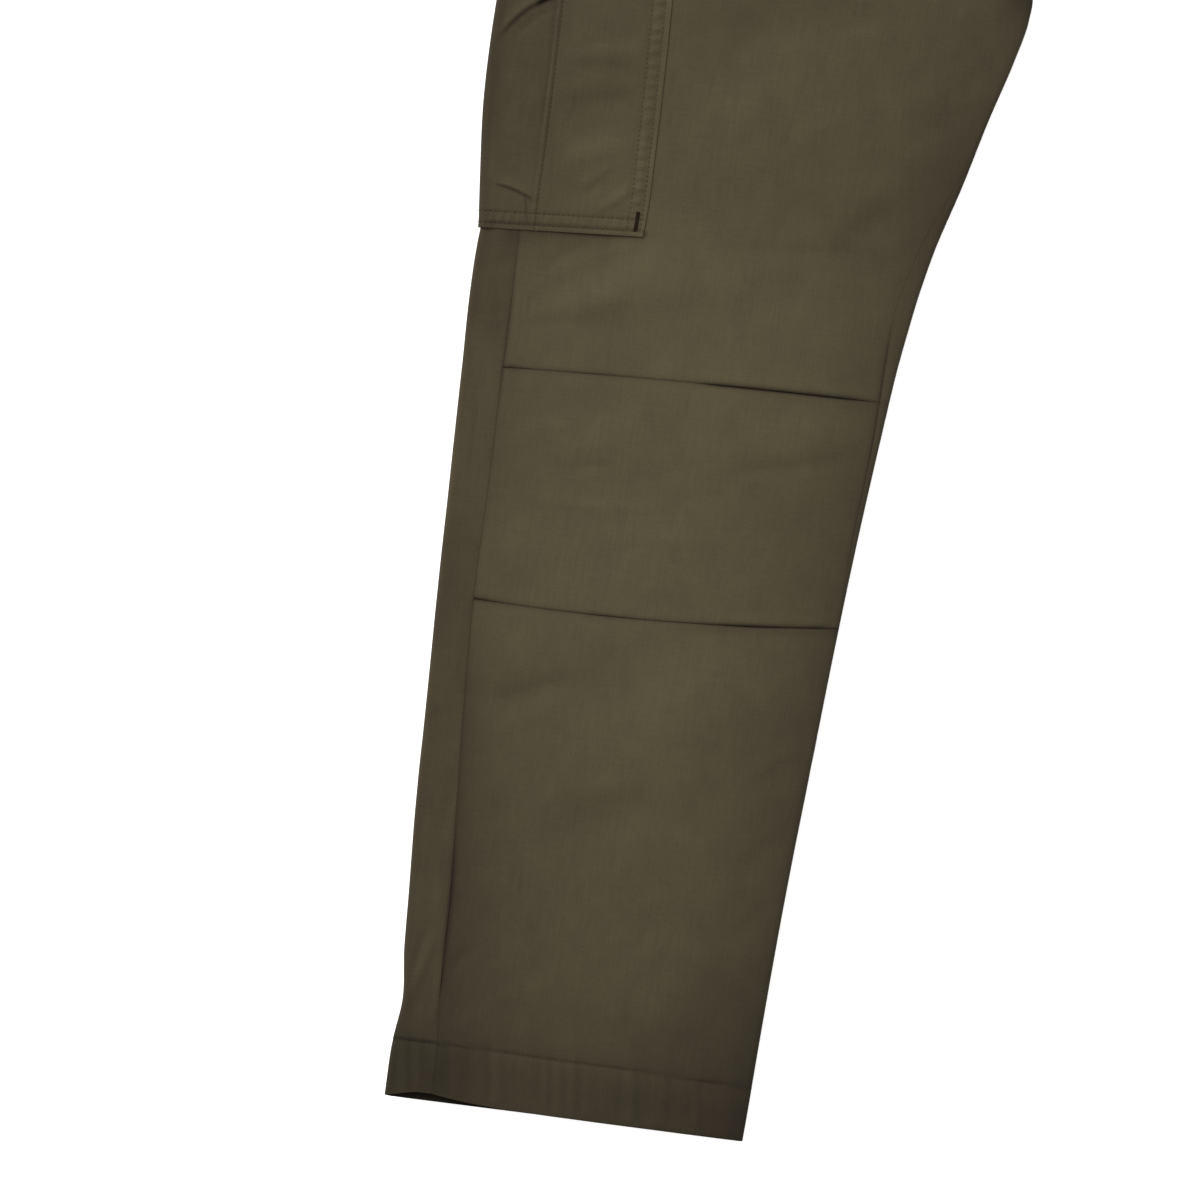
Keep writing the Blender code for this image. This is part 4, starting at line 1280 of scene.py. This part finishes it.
def button(plastic, thread):
    """A round button worked out on a polar grid: domed rim, sunk middle and four holes, flat behind.

    The rim falls as a circle does: its height is the root of one less the square of the way out.
    """
    low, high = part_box("waist_button")
    centre = (low + high) / 2 / MM
    rings = np.linspace(0, 4.6, 24), np.linspace(4.9, 6.2, 6), np.linspace(6.5, BUTTON_RADIUS, 9)
    r, a = np.meshgrid(np.concatenate(rings), np.linspace(0, 2 * np.pi, 72, endpoint=False))
    x, y = r * np.cos(a), r * np.sin(a)
    out = np.clip(r - BUTTON_RIM, 0, None) / (BUTTON_RADIUS - BUTTON_RIM)
    rim = np.sqrt(np.clip(1 - out**2, 0, 1))
    height = BUTTON_HEIGHT / 2 * (2 * rim - 1) * 0.9
    height = height - BUTTON_DISH * (1 - ease(4.8, 6.4, r))
    for side_x in (-BUTTON_HOLES, BUTTON_HOLES):
        for side_y in (-BUTTON_HOLES, BUTTON_HOLES):
            height = height - HOLE_DEPTH * (1 - ease(0.75, 1.15, np.hypot(x - side_x, y - side_y)))
    rows, columns = r.shape
    top = np.stack((x, y, height), axis=-1).reshape(-1, 3)
    back = np.stack((x, y, np.full(x.shape, -BUTTON_HEIGHT / 2)), axis=-1).reshape(-1, 3)
    index = np.arange(rows * columns).reshape(rows, columns)
    index = np.concatenate((index, index[:1]))
    quads = grid_quads(index)
    near, far = index[:, -1], index[:, -1] + rows * columns
    rim_faces = np.stack((near[:-1], far[:-1], far[1:], near[1:]), axis=-1)
    faces = np.concatenate((quads, quads[:, ::-1] + rows * columns, rim_faces))
    points = (np.concatenate((top, back)) + np.array(centre)) * MM
    piece = new_piece("horn_button", points, faces.tolist(), plastic)
    merge_centre(piece)
    dress(piece, "waist_button", slot="button_brown")
    t = np.linspace(-1, 1, 12)
    up = np.tile([0.0, 0.0, 1.0], (12, 1))
    runs = []
    for side_y in (-BUTTON_HOLES, BUTTON_HOLES):
        for shift in (-0.35, 0.0, 0.35):
            arch = np.stack((t * BUTTON_HOLES, np.full(12, side_y + shift), 0.55 - 1.9 * t**6), axis=-1)
            runs.append((arch + [centre[0], centre[1] + ORIGIN_LEVEL, centre[2]], up))
    sew("button_thread", runs, thread, painted_light, 5.0, 4.4, 0.24)


def merge_centre(piece):
    """Joins the points that lie on each other at a polar grid's middle, and turns the faces outwards."""
    whole = bmesh.new()
    whole.from_mesh(piece.data)
    bmesh.ops.remove_doubles(whole, verts=whole.verts, dist=1e-6)
    bmesh.ops.recalc_face_normals(whole, faces=whole.faces)
    whole.to_mesh(piece.data)
    whole.free()
    piece.data.shade_smooth()


# Finishes


class Finish:
    """A material's nodes, added one at a time in reading order."""

    def __init__(self, name):
        self.material = bpy.data.materials.new(name)
        self.material.use_nodes = True
        self.tree = self.material.node_tree
        self.shader = self.tree.nodes["Principled BSDF"]
        self.place = self.add("ShaderNodeTexCoord").outputs["Object"]

    def add(self, kind, **inputs):
        """A node of a kind, with its inputs given by name, or by number as i0, i1 and so on."""
        node = self.tree.nodes.new(kind)
        for name, value in inputs.items():
            numbered = name[0] == "i" and name[1:].isdigit()
            self.give(node.inputs[int(name[1:]) if numbered else name], value)
        return node

    def give(self, socket, value):
        """Links a socket to another one, or sets its value."""
        if isinstance(value, bpy.types.NodeSocket):
            self.tree.links.new(value, socket)
        else:
            socket.default_value = value

    def set(self, **values):
        """Sets the shader's own sockets to numbers that are the same all over."""
        for name, value in values.items():
            self.shader.inputs[name.replace("_", " ")].default_value = value

    def math(self, operation, first, second=0.0, third=0.0):
        """One operation on two or three values."""
        node = self.add("ShaderNodeMath", i0=first, i1=second, i2=third)
        node.operation = operation
        return node.outputs[0]

    def noise(self, stretch, detail):
        """Noise on object coordinates, finer where the stretch is larger; its value lies about 0.5."""
        mapping = self.add("ShaderNodeMapping", Vector=self.place, Scale=stretch)
        node = self.add("ShaderNodeTexNoise", Vector=mapping.outputs[0], Detail=detail, Scale=1.0,
                        Roughness=0.5)
        return node.outputs[0]

    def lit(self):
        """The share of the light that the shade kept at the points leaves."""
        shade = self.add("ShaderNodeAttribute")
        shade.attribute_name = "shade"
        return self.math("MULTIPLY_ADD", shade.outputs["Fac"], -SHADE_DEPTH, 1.0)

    def threads(self, pitch):
        """A plain weave's bumps: the product of two sines, square to each other, a pitch long."""
        parts = self.add("ShaderNodeSeparateXYZ", Vector=self.place)
        rate = 2 * math.pi / pitch
        warp = self.math("SINE", self.math("MULTIPLY", parts.outputs[0], rate))
        weft = self.math("SINE", self.math("MULTIPLY", parts.outputs[1], rate))
        return self.math("MULTIPLY", warp, weft)

    def weigh(self, pairs, base):
        """The base plus each value's distance from one half, weighted."""
        total = base
        for value, weight in pairs:
            total = self.math("MULTIPLY_ADD", value, weight, self.math("SUBTRACT", total, 0.5 * weight))
        return total

    def finish(self, value, colour, raised, strength, distance, hue=0.5):
        """Colours the shader, its hue and its lightness turned by values, and raises its surface."""
        tinted = self.add("ShaderNodeHueSaturation", Hue=hue, Value=value, Color=colour)
        self.give(self.shader.inputs["Base Color"], tinted.outputs[0])
        bump = self.add("ShaderNodeBump", Strength=strength, Distance=distance, Height=raised)
        self.give(self.shader.inputs["Normal"], bump.outputs[0])
        return self.material


COTTON = (0.1025, 0.0858, 0.0476, 1.0)
THREAD_COLOUR = (0.080, 0.067, 0.037, 1.0)
BARTACK_COLOUR = (0.022, 0.017, 0.010, 1.0)
BUTTON_COLOUR = (0.040, 0.033, 0.022, 1.0)
WEAVE = 0.00055  # metres that two neighbouring threads of the weave take up


def cotton(name, colour):
    """Matt plain-weave cotton: slubby threads both ways, soft mottling, and the painted shade kept at its
    points.
    """
    made = Finish(name)
    weft = made.noise((70, 1500, 300), 1.0)
    warp = made.noise((1300, 45, 300), 1.0)
    fine = made.noise((620, 620, 620), 2.0)
    mottle = made.noise((60, 48, 60), 3.0)
    broad = made.noise((11, 7, 11), 2.0)
    value = made.weigh(((weft, 0.22), (warp, 0.26), (fine, 0.18), (mottle, 0.20), (broad, 0.16)), 1.0)
    lit = made.lit()
    # the painted shade also turns the hue a little warmer where it is darker
    hue = made.weigh(((broad, 0.030), (mottle, 0.022)), made.math("MULTIPLY_ADD", lit, 0.029, 0.477))
    made.give(made.shader.inputs["Roughness"], made.weigh(((mottle, 0.10),), 0.88))
    made.set(Specular_IOR_Level=0.08, Sheen_Weight=0.03, Sheen_Roughness=0.6)
    raised = made.weigh(((weft, 1.2), (warp, 1.2)), made.math("MULTIPLY", made.threads(WEAVE), 0.5))
    return made.finish(made.math("MULTIPLY", value, lit), colour, raised, 0.5, 0.00012, hue)


def sewing_thread(name, colour):
    """Spun thread: matt, with a fine twist, and the painted shade kept at its points."""
    made = Finish(name)
    twist = made.noise((2600, 2600, 2600), 1.0)
    made.set(Roughness=0.85, Specular_IOR_Level=0.08)
    value = made.math("MULTIPLY", made.weigh(((twist, 0.4),), 1.0), made.lit())
    return made.finish(value, colour, twist, 0.4, 0.0001)


def button_plastic():
    """Satin dark plastic with faint cloudy streaks, as in imitation horn."""
    made = Finish("button_plastic")
    streak = made.noise((260, 90, 200), 3.0)
    value = made.weigh(((streak, 0.9),), 1.0)
    tinted = made.add("ShaderNodeHueSaturation", Value=value, Color=BUTTON_COLOUR)
    made.give(made.shader.inputs["Base Color"], tinted.outputs[0])
    made.give(made.shader.inputs["Roughness"], made.weigh(((streak, 0.15),), 0.42))
    return made.material


# Stage

AMBIENT = 0.62  # strength of the even light
FLOOR_GLOW = 0.64  # strength of the floor's own light
FLOOR_SIDE = 60.0  # metres, wider than any view
FLOOR_DROP = 0.0006  # metres that the floor lies below the pants
KEY_FROM = (-1.08, 0.94, 0.93)  # the side that the key light comes from
KEY_STRENGTH = 2.75
KEY_SOFTNESS = 0.55  # radians that the key light is wide
PICTURE_CENTRE = (-0.0350, -0.1844, 0.013)  # metres, the middle of the view on the cloth
PICTURE_WIDTH = 0.750  # metres across the view at the cloth
LEAN = math.radians(10)  # how far the leg leans in the view
LENS = 100.0  # focal length
SENSOR = 36.0  # width of the camera's sensor


def stage():
    """A plain near-white floor with a faint glow, and soft even light, strongest from the upper left."""
    bpy.ops.mesh.primitive_plane_add(size=FLOOR_SIDE, location=(0, 0, -FLOOR_DROP))
    floor = bpy.context.active_object
    floor.name = "floor"
    white = bpy.data.materials.new("floor_white")
    white.use_nodes = True
    shader = white.node_tree.nodes["Principled BSDF"]
    for name, value in (("Base Color", (0.93, 0.93, 0.93, 1)), ("Roughness", 0.95),
                        ("Specular IOR Level", 0.1), ("Emission Color", (1, 1, 1, 1)),
                        ("Emission Strength", FLOOR_GLOW)):
        shader.inputs[name].default_value = value
    floor.data.materials.append(white)
    world = bpy.data.worlds.new("studio")
    bpy.context.scene.world = world
    world.use_nodes = True
    background = world.node_tree.nodes["Background"]
    background.inputs["Color"].default_value = (1, 1, 1, 1)
    background.inputs["Strength"].default_value = AMBIENT
    lamp = bpy.data.lights.new("key", "SUN")
    lamp.energy = KEY_STRENGTH
    lamp.angle = KEY_SOFTNESS
    key = bpy.data.objects.new("key", lamp)
    key.location = KEY_FROM
    key.rotation_euler = (-Vector(KEY_FROM)).to_track_quat("-Z", "Y").to_euler()
    bpy.context.scene.collection.objects.link(key)


def camera():
    """Straight down, turned so that the leg leans, and as far up as the picture's width asks."""
    view = bpy.data.cameras.new("camera")
    view.lens = LENS
    view.sensor_width = SENSOR
    held = bpy.data.objects.new("camera", view)
    held.location = Vector(PICTURE_CENTRE) + Vector((0, 0, PICTURE_WIDTH * LENS / SENSOR))
    held.rotation_euler = (0, 0, LEAN)
    bpy.context.scene.collection.objects.link(held)
    bpy.context.scene.camera = held
    bpy.context.scene.view_settings.view_transform = "Standard"


def main():
    """Makes the materials, the stage and every piece."""
    olive = cotton("olive_cotton", COTTON)
    thread = sewing_thread("olive_thread", THREAD_COLOUR)
    dark_thread = sewing_thread("bartack_thread", BARTACK_COLOUR)
    camera()
    stage()
    left_leg(olive)
    back_piece("right_back_cloth", "right_back_leg", "hem", "back waist seam", BACK_ROWS, olive, SHELL,
               flush, back_shade, mouth_shade, STRIP_HEM_RISE)
    for name, node, low, high, step, low_rise in (
            ("shin_cloth", "right_shin_front", "front hem", "lower knee", 1.9, FRONT_HEM_RISE),
            ("knee_cloth", "right_knee_front", "lower knee", "upper knee", 1.9, 0.0),
            ("thigh_cloth", "right_thigh_front", "upper knee", "front waist seam", 2.1, 0.0)):
        front_panel(name, node, low, high, step, low_rise, olive)
    pocket_piece("pocket_bag_cloth", "cargo_pocket_bag", "pocket bottom", "pocket mouth", 0.0, BAG_ON_TOP,
                 BAG_ROWS, bag_lift, bag_shade, olive)
    pocket_piece("pocket_flap_cloth", "cargo_pocket_flap", "flap edge", "flap top", FLAP_SIDE, FLAP_ON_TOP,
                 FLAP_ROWS, flap_lift, pocket_plain, olive)
    fold_strip("fly_lap_cloth", "fly_lap", "fly end", "front waist seam", FLY_ON_TOP, ON_LEG, olive, SHELL)
    front_band(olive)
    back_piece("waistband_back_cloth", "waistband_right_back", "back waist seam", "back waist", BAND_ROWS,
               olive, BAND_SHELL, lambda x, level: band_lift("back", x, level), plain_shade, plain_inside,
               0.0)
    fold_strip("waistband_end_cloth", "waistband_left_end", "front waist seam", "front waist",
               BAND_END_ON_TOP, LAP_LIFT, olive, BAND_SHELL)
    button(button_plastic(), thread)
    with_cloth = {
        "shin_cloth": [hem_sewing(thread)],
        "pocket_bag_cloth": [pocket_sewing(thread), bartack(dark_thread)],
        "pocket_flap_cloth": [flap_sewing(thread)],
        "waistband_front_cloth": [band_sewing(thread)],
    }


main()
